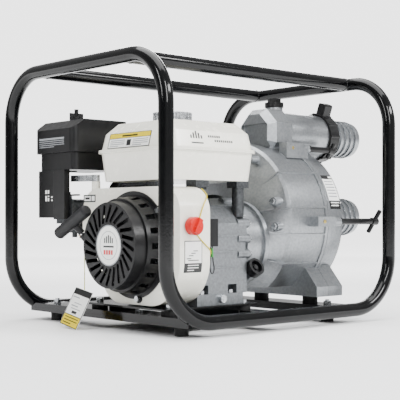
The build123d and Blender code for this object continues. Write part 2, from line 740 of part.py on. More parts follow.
def fuel_cap():
    seat = TANK_TOP + 1 + GAP
    cap = rod_z(CAP_R, CAP_X, CAP_Y, (seat, seat + CAP_H))
    cap -= rod_z(NECK_R + GAP, CAP_X, CAP_Y, (seat, TANK_TOP + NECK_H + GAP))
    grips = 24
    for n in range(grips):
        turn = radians(360 * n / grips)
        cap -= rod_z(2, CAP_X + (CAP_R + 0.6) * cos(turn), CAP_Y + (CAP_R + 0.6) * sin(turn),
                     (seat, seat + CAP_H))
    cap -= rod_z(CAP_R - 8, CAP_X, CAP_Y, (seat + CAP_H - 3, seat + CAP_H))
    return cap.solid()


def tank_brackets():
    """Cast posts between the crankcase and the tank, each with its bolt head."""
    posts = []
    for x in BRACKET_X:
        for y in BRACKET_Y:
            low = CASE_TOP - 34 if y < AXIS_Y else CASE_TOP - 14
            post = rod_z(BRACKET_R, x, y, (low, TANK_BOTTOM))
            post += Pos(x, y, TANK_BOTTOM - 6) * Box(30, 26, 12)
            if x < COVER_X[0]:
                post -= outline_x(case_outline(), CASE_X[0], CASE_X[1] - CASE_X[0])
            else:
                post -= outline_x(case_outline(), COVER_X[0], 22)
                post -= outline_x([(-400, 0), (-400, low + 20), (400, low + 20), (400, 0)],
                                  COVER_X[0] + 22, 60)
            posts.append(post.solids().sort_by(Axis.Z)[-1])
    return Compound(children=posts)


# ---------- intake and exhaust ----------
def lid_form(inset):
    """The lid's box with its sloping front edge, drawn in by the inset."""
    front, back = LID_X[0] + inset, LID_X[1] - inset
    top = LID_Z[1] - inset
    points = [(front, LID_Z[0]), (front, LID_FRONT_Z - inset), (front + LID_SLOPE, top),
              (back, top), (back, LID_Z[0])]
    plane = Plane(origin=(0, LID_Y[1] - inset, 0), x_dir=(1, 0, 0), z_dir=(0, -1, 0))
    body = extrude(plane * make_face(Polyline(*points, close=True)),
                   LID_Y[1] - LID_Y[0] - 2 * inset)
    return fillet(body.edges().filter_by(Axis.Z), LID_CORNER - inset)


def air_cleaner_lid():
    body = lid_form(0) - lid_form(PLASTIC)
    x, y = cleaner_centre()
    body -= rod_z(4 + GAP, x, y, (LID_Z[0], LID_Z[1] + 5))
    return body.solid()


def cleaner_centre():
    return (LID_X[0] + LID_X[1]) / 2 - 12, (LID_Y[0] + LID_Y[1]) / 2


def air_cleaner_base():
    """Tray under the filter, its elbow to the carburettor and the control panel below."""
    x = (LID_X[0] + BASE_INSET, LID_X[1] - BASE_INSET)
    y = (LID_Y[0] + BASE_INSET, LID_Y[1] - BASE_INSET)
    tray = block(x, y, (BASE_Z, LID_Z[0]))
    tray = fillet(tray.edges().filter_by(Axis.Z), LID_CORNER - 3)
    tray -= block((x[0] + 6, x[1] - 6), (y[0] + 6, y[1] - 6), (BASE_Z + 5, LID_Z[0]))
    panel = block(LOWER_X, LOWER_Y, (LOWER_Z, BASE_Z))
    panel -= block((LOWER_X[0] + PLASTIC, LOWER_X[1]), (LOWER_Y[0], LOWER_Y[1] - PLASTIC),
                   (LOWER_Z, BASE_Z - 2))
    duct_x = (CARB_X[0] - 12, CARB_X[0])
    duct = block(duct_x, (CARB_Y - 18, CARB_Y + 18), (CARB_Z - 18, BASE_Z))
    duct -= block((duct_x[0] + 3, duct_x[1]), (CARB_Y - 15, CARB_Y + 15), (CARB_Z - 15, BASE_Z + 6))
    cx, cy = cleaner_centre()
    stud = rod_z(4, cx, cy, (BASE_Z, STUD_TOP))
    return (tray + panel + duct + stud).solid()


def air_filter():
    cx, cy = cleaner_centre()
    body = Pos(cx, cy, 0) * extrude(RectangleRounded(78, 92, 16), 26)
    body -= Pos(cx, cy, 0) * extrude(RectangleRounded(44, 58, 10), 26)
    body = Pos(0, 0, BASE_Z + 5) * body
    folds = 14
    for n in range(folds):
        y = cy - 34 + 68 * n / (folds - 1)
        body -= block((cx - 40, cx - 36), (y - 1, y + 1), (BASE_Z + 5, BASE_Z + 31))
        body -= block((cx + 36, cx + 40), (y - 1, y + 1), (BASE_Z + 5, BASE_Z + 31))
    return body.solid()


def air_cleaner_nut():
    cx, cy = cleaner_centre()
    seat = LID_Z[1] + GAP
    body = rod_z(8, cx, cy, (seat, seat + 10))
    body += Pos(cx, cy, seat + 9) * Box(30, 3.5, 14)
    body -= rod_z(4 + RUN, cx, cy, (seat, STUD_TOP + 2))
    return body.solid()


def carburetor():
    body = rod_x(CARB_R, CARB_X, CARB_Y, CARB_Z)
    for x in ((CARB_X[0], CARB_X[0] + 5), (CARB_X[1] - 6, CARB_X[1])):
        body += block(x, (CARB_Y - 26, CARB_Y + 26), (CARB_Z - 26, CARB_Z + 20))
    middle = (CARB_X[0] + CARB_X[1]) / 2
    body += rod_z(BOWL_R, middle, CARB_Y, (BOWL_Z, CARB_Z))
    body += rod_z(5, middle, CARB_Y, (BOWL_Z - 9, BOWL_Z + 2))
    body -= rod_x(11, (CARB_X[0], CARB_X[1]), CARB_Y, CARB_Z)
    x = CARB_X[0] + 12
    body += rod_z(5, x, CARB_Y, (CARB_Z + 16, CARB_Z + 26))
    body -= rod_z(2.5 + RUN, x, CARB_Y, (CARB_Z + 11, CARB_Z + 27))
    return (body + head_port()).solid()


def head_port():
    """The intake stub between the carburettor and the head."""
    head_face = CRANK_PLANE_X - BLOCK / 2
    y, z = SHROUD_Y[1] + PORT_STUB_R + 1, CARB_Z - 25
    stub = rod_x(PORT_STUB_R, (CARB_X[1] - 1, head_face), y, z)
    return stub - rod_x(PORT_STUB_R - 3, (CARB_X[1] + 1, head_face), y, z)


def spindle_lever(x, reach, turn, thickness=3.0, width=9.0):
    """A flat lever on a vertical spindle above the carburettor."""
    seat = CARB_Z + 26 + GAP
    lever = rod_z(2.5, x, CARB_Y, (CARB_Z + 13, seat + 8))
    lever += rod_z(6, x, CARB_Y, (seat, seat + thickness))
    arm = Pos(reach / 2, 0, seat + thickness / 2) * Box(reach, width, thickness)
    arm += rod_z(width / 2, reach, 0, (seat, seat + thickness))
    return (lever + Pos(x, CARB_Y, 0) * Rot(0, 0, turn) * arm).solid()


def choke_lever():
    return spindle_lever(CARB_X[0] + 12, 34, 262)


def throttle_lever():
    """Upright strip on a post of the shroud, reaching past the tank's end."""
    x, y = CONTROL_POST
    height = CONTROL_Z[1] - CONTROL_Z[0]
    strip = Pos(CONTROL_REACH / 2, 0, CONTROL_Z[0] + height / 2) * Box(CONTROL_REACH, 2.5, height)
    hub = rod_z(7, 0, 0, CONTROL_Z)
    lever = Pos(x, y, 0) * Rot(0, 0, CONTROL_TURN) * (strip + hub)
    return (lever - rod_z(4 + RUN, x, y, CONTROL_Z)).solid()


def muffler():
    body = block(MUFFLER_X, MUFFLER_Y, MUFFLER_Z)
    body = fillet(body.edges().filter_by(Axis.X), 24)
    body = fillet(body.edges(), 2)
    head_face = CRANK_PLANE_X + BLOCK / 2
    port_y, port_z = MUFFLER_Y[0] + 10, 200
    pipe = rod_z(11, head_face + 16, port_y, (port_z, MUFFLER_Z[0] + 14))
    pipe += rod_x(11, (head_face, head_face + 16), port_y, port_z)
    pipe += Pos(head_face + 16, port_y, port_z) * Sphere(11)
    outlet = rod_x(9, (MUFFLER_X[1] - 2, MUFFLER_X[1] + 12), (MUFFLER_Y[0] + MUFFLER_Y[1]) / 2,
                   (MUFFLER_Z[0] + MUFFLER_Z[1]) / 2)
    outlet -= rod_x(7, (MUFFLER_X[1] - 1, MUFFLER_X[1] + 13), (MUFFLER_Y[0] + MUFFLER_Y[1]) / 2,
                    (MUFFLER_Z[0] + MUFFLER_Z[1]) / 2)
    return (body + pipe + outlet).solids().sort_by(SortBy.VOLUME)[-1]


def muffler_guard():
    """Bent sheet over and beside the muffler, with vent slots, on two short posts."""
    top = MUFFLER_Z[1] + GUARD_GAP
    side = MUFFLER_Y[1] + GUARD_GAP
    low = MUFFLER_Z[0] + 8
    x = (MUFFLER_X[0] + 4, MUFFLER_X[1] - 4)
    sheet = block(x, (MUFFLER_Y[0] + 6, side + GUARD_T), (top, top + GUARD_T))
    sheet += block(x, (side, side + GUARD_T), (low, top + GUARD_T))
    rows = 6
    for n in range(rows):
        y = MUFFLER_Y[0] + 20 + n * 16
        sheet -= block((x[0] + 12, x[1] - 12), (y, y + 6), (top - 1, top + GUARD_T + 1))
    for n in range(3):
        z = low + 12 + n * 16
        sheet -= block((x[0] + 12, x[1] - 12), (side - 1, side + GUARD_T + 1), (z, z + 6))
    for post_x in (x[0] + 6, x[1] - 6):
        sheet += rod_z(3, post_x, (MUFFLER_Y[0] + MUFFLER_Y[1]) / 2, (MUFFLER_Z[1], top + GUARD_T))
    return sheet.solid()


# ---------- switch side ----------
def stop_switch_base():
    face = SHROUD_Y[0]
    body = rod_y(8, SWITCH_X, (face - 3, face + 16), SWITCH_Z)
    body += rod_y(12, SWITCH_X, (face - 3, face), SWITCH_Z)
    body += rod_y(4, SWITCH_X, (face - 10, face - 2), SWITCH_Z)
    return body.solid()


def stop_switch_knob():
    seat = SHROUD_Y[0] - 3 - GAP
    body = rod_y(KNOB_R, SWITCH_X, (seat - KNOB_T, seat), SWITCH_Z)
    body = fillet(body.edges().group_by(Axis.Y)[0], 3)
    body += Pos(SWITCH_X, seat - KNOB_T - 2, SWITCH_Z) * Rot(0, 25, 0) * Box(8, 6, 26)
    body -= rod_y(4 + RUN, SWITCH_X, (seat - 7 - GAP, seat + 1), SWITCH_Z)
    return body.solid()


def oil_alert_box():
    """Low-oil unit on a short bracket from the crankcase wall."""
    face = CASE_Y[0] - 3
    body = block(ALERT_X, (face - ALERT_T, face), ALERT_Z)
    body = fillet(body.edges().filter_by(Axis.Z), 3)
    middle = (ALERT_X[0] + ALERT_X[1]) / 2
    tab = block((middle - 5, middle + 5), (face, CASE_Y[0]), (ALERT_Z[1] - 20, ALERT_Z[1] - 6))
    return (body + tab).solid()


def engine_wires():
    """Leads from the tank side to the switch and from the switch to the oil unit."""
    outside = SHROUD_Y[0] - WIRE_R - GAP
    box_y = CASE_Y[0] - 3 - ALERT_T / 2
    low = ALERT_Z[0] - GAP
    middle = (ALERT_X[0] + ALERT_X[1]) / 2
    edge = SHROUD_X[1] + WIRE_R + GAP
    top_lead = [(edge + 3, CASE_Y[0] - 4, TANK_BOTTOM - 16), (edge + 1, outside + 8, 236),
                (edge, outside - 1, 212), (SWITCH_X + KNOB_R + 8, outside, SWITCH_Z + 8),
                (SWITCH_X + 12.5 + WIRE_R, outside + 0.1, SWITCH_Z)]
    low_lead = [(SWITCH_X + 7, outside, SWITCH_Z - 12), (SWITCH_X + 30, outside - 1, SWITCH_Z - 32),
                (edge + 2, outside - 1, low - 8), (middle - 5, box_y - 8, low - 20),
                (middle - 6, box_y + 5, low)]
    loop = [(middle + 6, box_y - 2, low), (middle + 7, box_y - 4, low - 26),
            (middle + 1, box_y - 5, low - 38), (middle - 3, box_y - 4, low - 26),
            (middle, box_y - 2, low)]
    leads = []
    up, down = (0, 0, 1), (0, 0, -1)
    for points, ends in ((top_lead, None), (low_lead, ((1, 0, -1), up)), (loop, (down, up))):
        path = Spline(*points, tangents=ends)
        plane = Plane(origin=path @ 0, z_dir=path % 0)
        leads.append(sweep(plane * Circle(WIRE_R), path=path).solid())
    return Compound(children=leads)


def filler_axis_round(radius, near, far):
    """A round along the oil filler, which points to the switch side and up."""
    turn = radians(FILLER_TILT)
    axis = Vector(0, -cos(turn), sin(turn))
    start = Vector(FILLER_X, FILLER_Y, FILLER_Z)
    return extrude(Plane(origin=start + axis * near, z_dir=axis) * Circle(radius), far - near)


def oil_filler_cap():
    seat = FILLER_REACH + GAP
    body = filler_axis_round(FILLER_R, seat, seat + 15) - filler_axis_round(FILLER_R - 5, seat + 6, seat + 15)
    body += filler_axis_round(5, seat + 4, seat + 13)
    body += filler_axis_round(FILLER_NECK_R - RUN, FILLER_REACH - 20, seat + 1)
    return body.solid()


# ---------- pump ----------
def drum(radius, x, length):
    """A round slice of the casing, flat underneath."""
    body = rod_x(radius, (x, x + length), DRUM_Y, DRUM_Z)
    low = DRUM_LOW_Z + DRUM_R - radius
    return body - block((x - 1, x + length + 1), (DRUM_Y - DRUM_R, DRUM_Y + DRUM_R), (0, low))


def sump_outline(inset=0.0):
    half, low = SUMP_HALF - inset, SUMP_Z[0] + inset
    return [(AXIS_Y - half, low), (AXIS_Y - half, SUMP_Z[1]),
            (AXIS_Y - half * 0.7, SUMP_Z[2]), (AXIS_Y + half * 0.7, SUMP_Z[2]),
            (AXIS_Y + half, SUMP_Z[1]), (AXIS_Y + half, low)]


def pump_adapter():
    """The bell between the engine and the casing."""
    body = rod_x(ADAPTER_R, ADAPTER_X, AXIS_Y, AXIS_Z)
    body += rod_x(ADAPTER_R + 6, (ADAPTER_X[1] - 9, ADAPTER_X[1]), AXIS_Y, AXIS_Z)
    body -= rod_x(ADAPTER_R - ADAPTER_WALL, ADAPTER_X, AXIS_Y, AXIS_Z)
    for y, z in rim_points(4, ADAPTER_R - ADAPTER_WALL / 2, start=45):
        body += rod_x(8, (ADAPTER_X[0], ADAPTER_X[0] + 12), y, z)
    body -= filler_axis_round(FILLER_R - 3 + GAP, -30, FILLER_REACH)
    return body.solids().sort_by(SortBy.VOLUME)[-1]


def casing_back():
    """Conical back of the casing, from the bell's flange out to the drum."""
    start = ADAPTER_X[1]
    plane = Plane(origin=(start, 0, 0), x_dir=(0, 1, 0), z_dir=(1, 0, 0))
    small = plane * Pos(AXIS_Y, AXIS_Z, 0) * Circle(ADAPTER_R)
    large = plane.offset(CONE_END_X - start) * Pos(DRUM_Y, DRUM_Z, 0) * Circle(DRUM_R - DRUM_EDGE)
    back = loft([small, large])
    back += cone_x(DRUM_R - DRUM_EDGE, DRUM_R, (CONE_END_X, CONE_END_X + DRUM_EDGE), DRUM_Y, DRUM_Z)
    return back - block((start - 1, SPLIT_X), (DRUM_Y - DRUM_R, DRUM_Y + DRUM_R), (0, DRUM_LOW_Z))


def octagon(x, length, half):
    plane = Plane(origin=(x, PORT_Y, DISCHARGE_Z), x_dir=(0, 1, 0), z_dir=(1, 0, 0))
    return extrude(plane * Rot(0, 0, 22.5) * RegularPolygon(half, 8, major_radius=False), length)


def discharge_block():
    """Eight-sided block and round pipe of the outlet."""
    start, end = BLOCK_X
    body = octagon(start + BLOCK_CHAMFER, end - start - BLOCK_CHAMFER, BLOCK_HALF)
    plane = Plane(origin=(start, PORT_Y, DISCHARGE_Z), x_dir=(0, 1, 0), z_dir=(1, 0, 0))
    eight = Rot(0, 0, 22.5)
    small = plane * eight * RegularPolygon(BLOCK_HALF - BLOCK_CHAMFER * 0.7, 8, major_radius=False)
    large = plane.offset(BLOCK_CHAMFER) * eight * RegularPolygon(BLOCK_HALF, 8, major_radius=False)
    body += loft([small, large])
    body += rod_x(PORT_R, (end, PORT_END_X), PORT_Y, DISCHARGE_Z)
    body += rod_z(PRIME_R - 2, PRIME_X, PORT_Y, (DISCHARGE_Z, PRIME_Z[0]))
    neck_y = (PORT_Y - NECK_HALF, PORT_Y + NECK_HALF)
    body += block((start - 10, SPLIT_X), neck_y, (DRUM_Z + DRUM_R - 30, DISCHARGE_Z - PORT_R + 10))
    return body


def pump_casing():
    body = drum(DRUM_R, CONE_END_X + DRUM_EDGE, SPLIT_X - CONE_END_X - DRUM_EDGE) + casing_back()
    body += drum(DRUM_R + RIB_PROUD, SPLIT_X - FLANGE_T, FLANGE_T)
    body += outline_x(sump_outline(), SUMP_X[0], SPLIT_X - SUMP_X[0])
    body += discharge_block()
    for turn in RIB_ANGLES:
        body += casing_rib(turn) + casing_rib(180 - turn)
    for y, z in back_screws():
        body += rod_x(BOSS_R, (BACK_SCREW_X, CONE_END_X), y, z)
    for side in SWING_PLACES:
        body += casing_ears(side)
    body -= casing_space(0)
    for side in SWING_PLACES:
        body -= ear_slot(side)
    body -= outline_x(sump_outline(CAST_WALL), SUMP_X[0] + CAST_WALL, SPLIT_X - SUMP_X[0])
    hollow_back = (ADAPTER_X[1] - 1, CONE_END_X - 8)
    body -= cone_x(ADAPTER_R - 16, ADAPTER_R - 4, hollow_back, AXIS_Y, AXIS_Z)
    body -= rod_x(SEAL_R, (ADAPTER_X[1], CONE_END_X + CAST_WALL + 1), AXIS_Y, AXIS_Z)
    body -= rod_x(PORT_BORE_R, (BLOCK_X[0] + 18, PORT_END_X), PORT_Y, DISCHARGE_Z)
    rise_x = (BLOCK_X[0] + 26, SPLIT_X - CAST_WALL)
    rise_y = (PORT_Y - NECK_HALF + CAST_WALL, PORT_Y + NECK_HALF - CAST_WALL)
    body -= block(rise_x, rise_y, (DRUM_Z + DRUM_R - 32, DISCHARGE_Z))
    body -= rod_z(PRIME_R - 7, PRIME_X, PORT_Y, (DISCHARGE_Z, PRIME_Z[0]))
    body -= block((BLOCK_X[0] - 1, BLOCK_X[0] + 10), (PORT_Y - 36, PORT_Y + 36),
                  (DISCHARGE_Z - 34, DISCHARGE_Z + 18))
    return body.solids().sort_by(SortBy.VOLUME)[-1]


def casing_space(clear):
    """The casing's hollow, drawn in by a clearance."""
    x = CONE_END_X + CAST_WALL + clear
    return drum(DRUM_R - CAST_WALL - clear, x, SPLIT_X - x)


def casing_rib(turn):
    """A rib up the conical back and along the drum, at an angle above the near side."""
    rise, across = sin(radians(turn)), cos(radians(turn))
    plane = Plane(origin=(0, DRUM_Y, DRUM_Z), x_dir=(1, 0, 0), z_dir=(0, -rise, -across))
    to_axis = (AXIS_Y - DRUM_Y) * -across + (AXIS_Z - DRUM_Z) * rise
    apart = (AXIS_Y - DRUM_Y) ** 2 + (AXIS_Z - DRUM_Z) ** 2
    inner = to_axis + (ADAPTER_R ** 2 - apart + to_axis ** 2) ** 0.5 + 8
    outer = DRUM_R + RIB_PROUD
    flange = SPLIT_X - FLANGE_T
    profile = [(ADAPTER_X[1] + 1, inner), (CONE_END_X - 3, outer), (flange, outer),
               (flange, outer - 6), (CONE_END_X + 7, outer - 6), (ADAPTER_X[1] + 12, inner)]
    return extrude(plane * make_face(Polyline(*profile, close=True)), RIB_T / 2, both=True)


def back_screws():
    """Places of the screws on the conical back, as (y, z)."""
    places = [(BACK_SCREW_R * cos(radians(a)), BACK_SCREW_R * sin(radians(a))) for a in BACK_SCREW_ANGLES]
    return [(DRUM_Y - y, DRUM_Z + z) for y, z in places]


def casing_ears(side):
    """Solid root of the two ears that hold a swing bolt's pin."""
    y, z = SWING_PLACES[side]
    reach = EYE_H / 2 + GAP + EAR_T
    inner_y = {"near": DRUM_Y - DRUM_R + 12, "far": DRUM_Y + DRUM_R - 12}.get(side, y)
    span = (min(y - reach, inner_y), max(y + reach, inner_y))
    low = z - LUG_R if side != "top" else DRUM_Z + DRUM_R - 30
    return block((SWING_X - 18, SPLIT_X), span, (low, z + LUG_R))


def ear_slot(side):
    """The slot between the ears, open towards the cover, and the pin's hole."""
    y, z = SWING_PLACES[side]
    reach = EYE_H / 2 + GAP
    outside = -1 if side == "near" else 1
    slot = block((SWING_X - SWING_EYE_R - GAP, SPLIT_X + 1), (y - reach, y + reach), (z - 12, z + 12))
    pin = sorted((y - outside * (reach + EAR_T), y + outside * (reach + EAR_T + 1)))
    return slot + rod_y(PIN_R + RUN, SWING_X, pin, z)


def swing_bolt(side):
    """Eye bolt on its cross pin; it swings up out of the cover's open lug."""
    y, z = SWING_PLACES[side]
    outside = -1 if side == "near" else 1
    half = EYE_H / 2
    bolt = rod_y(SWING_EYE_R, SWING_X, (y - half, y + half), z)
    bolt += rod_x(SWING_BOLT_R, (SWING_X, LUG_END_X + 24), y, z)
    pin = sorted((y - outside * (half + EAR_T), y + outside * (half + EAR_T + 1.5)))
    return (bolt + rod_y(PIN_R, SWING_X, pin, z)).solid()


def t_handle(side):
    """Long sleeve nut with a cross bar."""
    y, z = SWING_PLACES[side]
    start, end = LUG_END_X + GAP, HANDLE_END[side]
    body = rod_x(HANDLE_R, (start, end), y, z)
    body += rod_x(HANDLE_R + 2, (start, start + 5), y, z)
    body += rod_x(HANDLE_R + 1.5, (end - 16, end), y, z)
    bar = rod_z(T_BAR_R, end - 7, y, (z - T_BAR[side] / 2, z + T_BAR[side] / 2))
    bar = fillet(bar.edges(), 1.5)
    body += bar.rotate(Axis((0, y, z), (1, 0, 0)), 35)
    body -= rod_x(SWING_BOLT_R + RUN, (start - 1, LUG_END_X + 24 + GAP), y, z)
    return body.solid()


def cover_lug(side):
    """Round lug with a slot open upwards; its upper face is eased for the swing."""
    y, z = SWING_PLACES[side]
    start = SPLIT_X + GASKET_T
    inner_y = {"near": DRUM_Y - COVER_R + 6, "far": DRUM_Y + COVER_R - 6}.get(side)
    room = SWING_BOLT_R + 1
    lug = rod_x(LUG_R, (start, LUG_END_X), y, z)
    if inner_y is None:
        lug += block((start, LUG_END_X - 8), (y - LUG_R, y + LUG_R), (DRUM_Z + COVER_R - 36, z))
    else:
        lug += block((start, LUG_END_X - 8), sorted((inner_y, y)), (z - LUG_R, z + LUG_R))
    lug -= block((start - 1, LUG_END_X + 1), (y - room, y + room), (z - room, z + 2 * LUG_R))
    lug -= block((LUG_END_X - 1.5, LUG_END_X + 1), (y - 2 * LUG_R, y + 2 * LUG_R), (z - 2, z + 2 * LUG_R))
    return lug


def cover_shell(radius, x, end):
    """The cover's drum with its sloped front edge."""
    body = drum(radius, x, end - COVER_EDGE - x)
    front = cone_x(radius, radius - COVER_EDGE, (end - COVER_EDGE, end), DRUM_Y, DRUM_Z)
    low = DRUM_LOW_Z + DRUM_R - radius
    return body + (front - block((x, end + 1), (DRUM_Y - radius, DRUM_Y + radius), (0, low)))


def pump_cover():
    """Front cover with the suction port and the front half of the sump foot."""
    start = SPLIT_X + GASKET_T
    body = cover_shell(COVER_R, start, COVER_END_X) + drum(DRUM_R + RIB_PROUD, start, FLANGE_T)
    body += outline_x(sump_outline(), start, SUMP_X[1] - start)
    body += rod_x(PORT_R, (start + 20, PORT_END_X), PORT_Y, SUCTION_Z)
    for side in SWING_PLACES:
        body += cover_lug(side)
    inside = cover_shell(COVER_R - CAST_WALL, start, COVER_END_X - CAST_WALL)
    body -= inside - rod_x(PORT_R + PIPE_GAP + CAST_WALL, (start, COVER_END_X), PORT_Y, DISCHARGE_Z)
    body -= rod_x(PORT_R + PIPE_GAP, (start, COVER_END_X + 1), PORT_Y, DISCHARGE_Z)
    body -= outline_x(sump_outline(CAST_WALL), start, SUMP_X[1] - start - CAST_WALL)
    body -= rod_x(PORT_BORE_R, (start, PORT_END_X), PORT_Y, SUCTION_Z)
    return body.solids().sort_by(SortBy.VOLUME)[-1]


def cover_gasket():
    ring = drum(DRUM_R + RIB_PROUD - 1, SPLIT_X, GASKET_T)
    ring += outline_x(sump_outline(0.5), SPLIT_X, GASKET_T)
    pipe = rod_x(PORT_R + PIPE_GAP, (SPLIT_X - 1, SPLIT_X + GASKET_T + 1), PORT_Y, DISCHARGE_Z)
    ring -= drum(COVER_R - CAST_WALL, SPLIT_X, GASKET_T) - rod_x(
        PORT_R + PIPE_GAP + CAST_WALL, (SPLIT_X, SPLIT_X + GASKET_T), PORT_Y, DISCHARGE_Z)
    ring -= outline_x(sump_outline(CAST_WALL), SPLIT_X, GASKET_T)
    ring -= pipe
    return ring.solids().sort_by(SortBy.VOLUME)[-1]


def impeller():
    """Open trash impeller: back plate, hub and curved vanes."""
    back = rod_x(IMPELLER_R, (IMPELLER_X[0], IMPELLER_X[0] + 5), AXIS_Y, AXIS_Z)
    body = back + rod_x(24, IMPELLER_X, AXIS_Y, AXIS_Z)
    plane = Plane(origin=(IMPELLER_X[0] + 4, AXIS_Y, AXIS_Z), x_dir=(0, 1, 0), z_dir=(1, 0, 0))
    vane_line = ThreePointArc((18, 0), (38, 13), (IMPELLER_R - 3, 0))
    vane = extrude(plane * trace(vane_line, 7), IMPELLER_X[1] - IMPELLER_X[0] - 6)
    centre = Axis((0, AXIS_Y, AXIS_Z), (1, 0, 0))
    for n in range(IMPELLER_VANES):
        body += vane.rotate(centre, 360 * n / IMPELLER_VANES)
    body -= rod_x(SHAFT_R, (IMPELLER_X[0] - 1, IMPELLER_X[1] - 8), AXIS_Y, AXIS_Z)
    return body.solid()


def volute():
    """Cast ring round the impeller, open upwards into the casing."""
    x = (CONE_END_X + CAST_WALL, IMPELLER_X[1] + 6)
    body = rod_x(VOLUTE_R, x, AXIS_Y, AXIS_Z) - rod_x(VOLUTE_R - VOLUTE_WALL, x, AXIS_Y, AXIS_Z)
    body -= block(x, (AXIS_Y + 6, AXIS_Y + 70), (AXIS_Z + 40, AXIS_Z + 100))
    floor_x = (x[0], x[0] + 4)
    body += rod_x(VOLUTE_R, floor_x, AXIS_Y, AXIS_Z) - rod_x(SEAL_R + 10, floor_x, AXIS_Y, AXIS_Z)
    return (body & casing_space(0)).solids().sort_by(SortBy.VOLUME)[-1]


def shaft_seal():
    """Seal ring pressed into the back wall, running on the shaft."""
    x = (CONE_END_X - 7, CONE_END_X + CAST_WALL)
    body = rod_x(SEAL_R, x, AXIS_Y, AXIS_Z) - rod_x(SHAFT_R + RUN, x, AXIS_Y, AXIS_Z)
    body += rod_x(SEAL_R - 5, (x[1] - 1, x[1] + 4), AXIS_Y, AXIS_Z)
    body -= rod_x(SHAFT_R + RUN, (x[0], x[1] + 6), AXIS_Y, AXIS_Z)
    return body.solid()


def coupling_ring(z):
    """Union nut with two gripping lugs; it turns on the port and holds the barb's flange."""
    start = PORT_END_X - RING_BACK
    end = PORT_END_X + BARB_FLANGE_T + GAP + RING_LIP
    body = rod_x(RING_R, (start, end), PORT_Y, z)
    for turn in (110, 290):
        lug = block((start + 1, end - 3), (-10, 10), (RING_R - 6, RING_R + 24))
        lug = fillet(lug.edges().filter_by(Axis.X), 4)
        body += Pos(0, PORT_Y, z) * (Rot(turn - 90, 0, 0) * lug)
    grips = 12
    for n in range(grips):
        turn = radians(360 * n / grips)
        body += rod_x(3, (start, end), PORT_Y + (RING_R - 1) * cos(turn), z + (RING_R - 1) * sin(turn))
    body -= rod_x(PORT_R + RUN, (start, PORT_END_X + BARB_FLANGE_T + GAP), PORT_Y, z)
    body -= rod_x(BARB_RIDGE_R + GAP, (start, end), PORT_Y, z)
    return body.solid()


def hose_barb(z):
    start = PORT_END_X
    body = rod_x(BARB_FLANGE_R, (start, start + BARB_FLANGE_T), PORT_Y, z)
    body += rod_x(BARB_R, (start, BARB_END_X), PORT_Y, z)
    first = start + BARB_FLANGE_T + RING_LIP + 4
    step = (BARB_END_X - first) / BARB_RIDGES
    for n in range(BARB_RIDGES):
        at = first + n * step
        body += cone_x(BARB_RIDGE_R, BARB_R, (at, at + step), PORT_Y, z)
    body -= rod_x(BARB_BORE_R, (start, BARB_END_X), PORT_Y, z)
    return body.solid()


def hose_barbs():
    return Compound(children=[hose_barb(DISCHARGE_Z), hose_barb(SUCTION_Z)])


def priming_cap():
    seat = PRIME_Z[0] + GAP
    body = rod_z(PRIME_R, PRIME_X, PORT_Y, (seat, seat + 10))
    head = Pos(PRIME_X, PORT_Y, seat + 10) * RegularPolygon(PRIME_R - 5, 6)
    body += extrude(head, PRIME_Z[1] - PRIME_Z[0] - 10)
    body += rod_z(PRIME_R - 7 - RUN, PRIME_X, PORT_Y, (seat - 14, seat))
    return body.solid()


def pump_screws():
    """Screws of the casing's back and the two drain plugs of the sump."""
    pieces = [nut_x(BACK_SCREW_X - 5, y, z, 6, 5) for y, z in back_screws()]
    for side in (-1, 1):
        y = AXIS_Y + side * (SUMP_HALF - 22)
        pieces.append(nut_x(SUMP_X[1], y, SUMP_Z[0] + 12, 9, 7))
    return Compound(children=pieces)


# ---------- hang tag ----------
def hang_tag():
    body = Box(TAG_T, TAG_WIDTH, TAG_LENGTH)
    body -= Pos(0, 0, TAG_LENGTH / 2 - 5) * Rot(0, 90, 0) * Cylinder(2, TAG_T)
    turn = radians(TAG_LEAN)
    half = TAG_LENGTH / 2
    body = Pos(0, 0, half) * Rot(TAG_SWING, 0, 0) * Pos(0, 0, -half) * body
    centre = Pos(TAG_X - half * sin(turn), TAG_Y, TAG_TOP_Z - half * cos(turn))
    return (centre * Rot(0, TAG_LEAN, 0) * body).solid()


def tag_string():
    """The string hangs straight from the starter's rope guide to the tag."""
    exit_point, pull = guide_start()
    string = bar_between((TAG_X, TAG_Y, TAG_TOP_Z + GAP), (TAG_X, TAG_Y, exit_point.Z), STRING_R)
    string -= bar_between(exit_point - pull * 24, exit_point, GUIDE_R)
    return string.solids().sort_by(Axis.Z)[0]


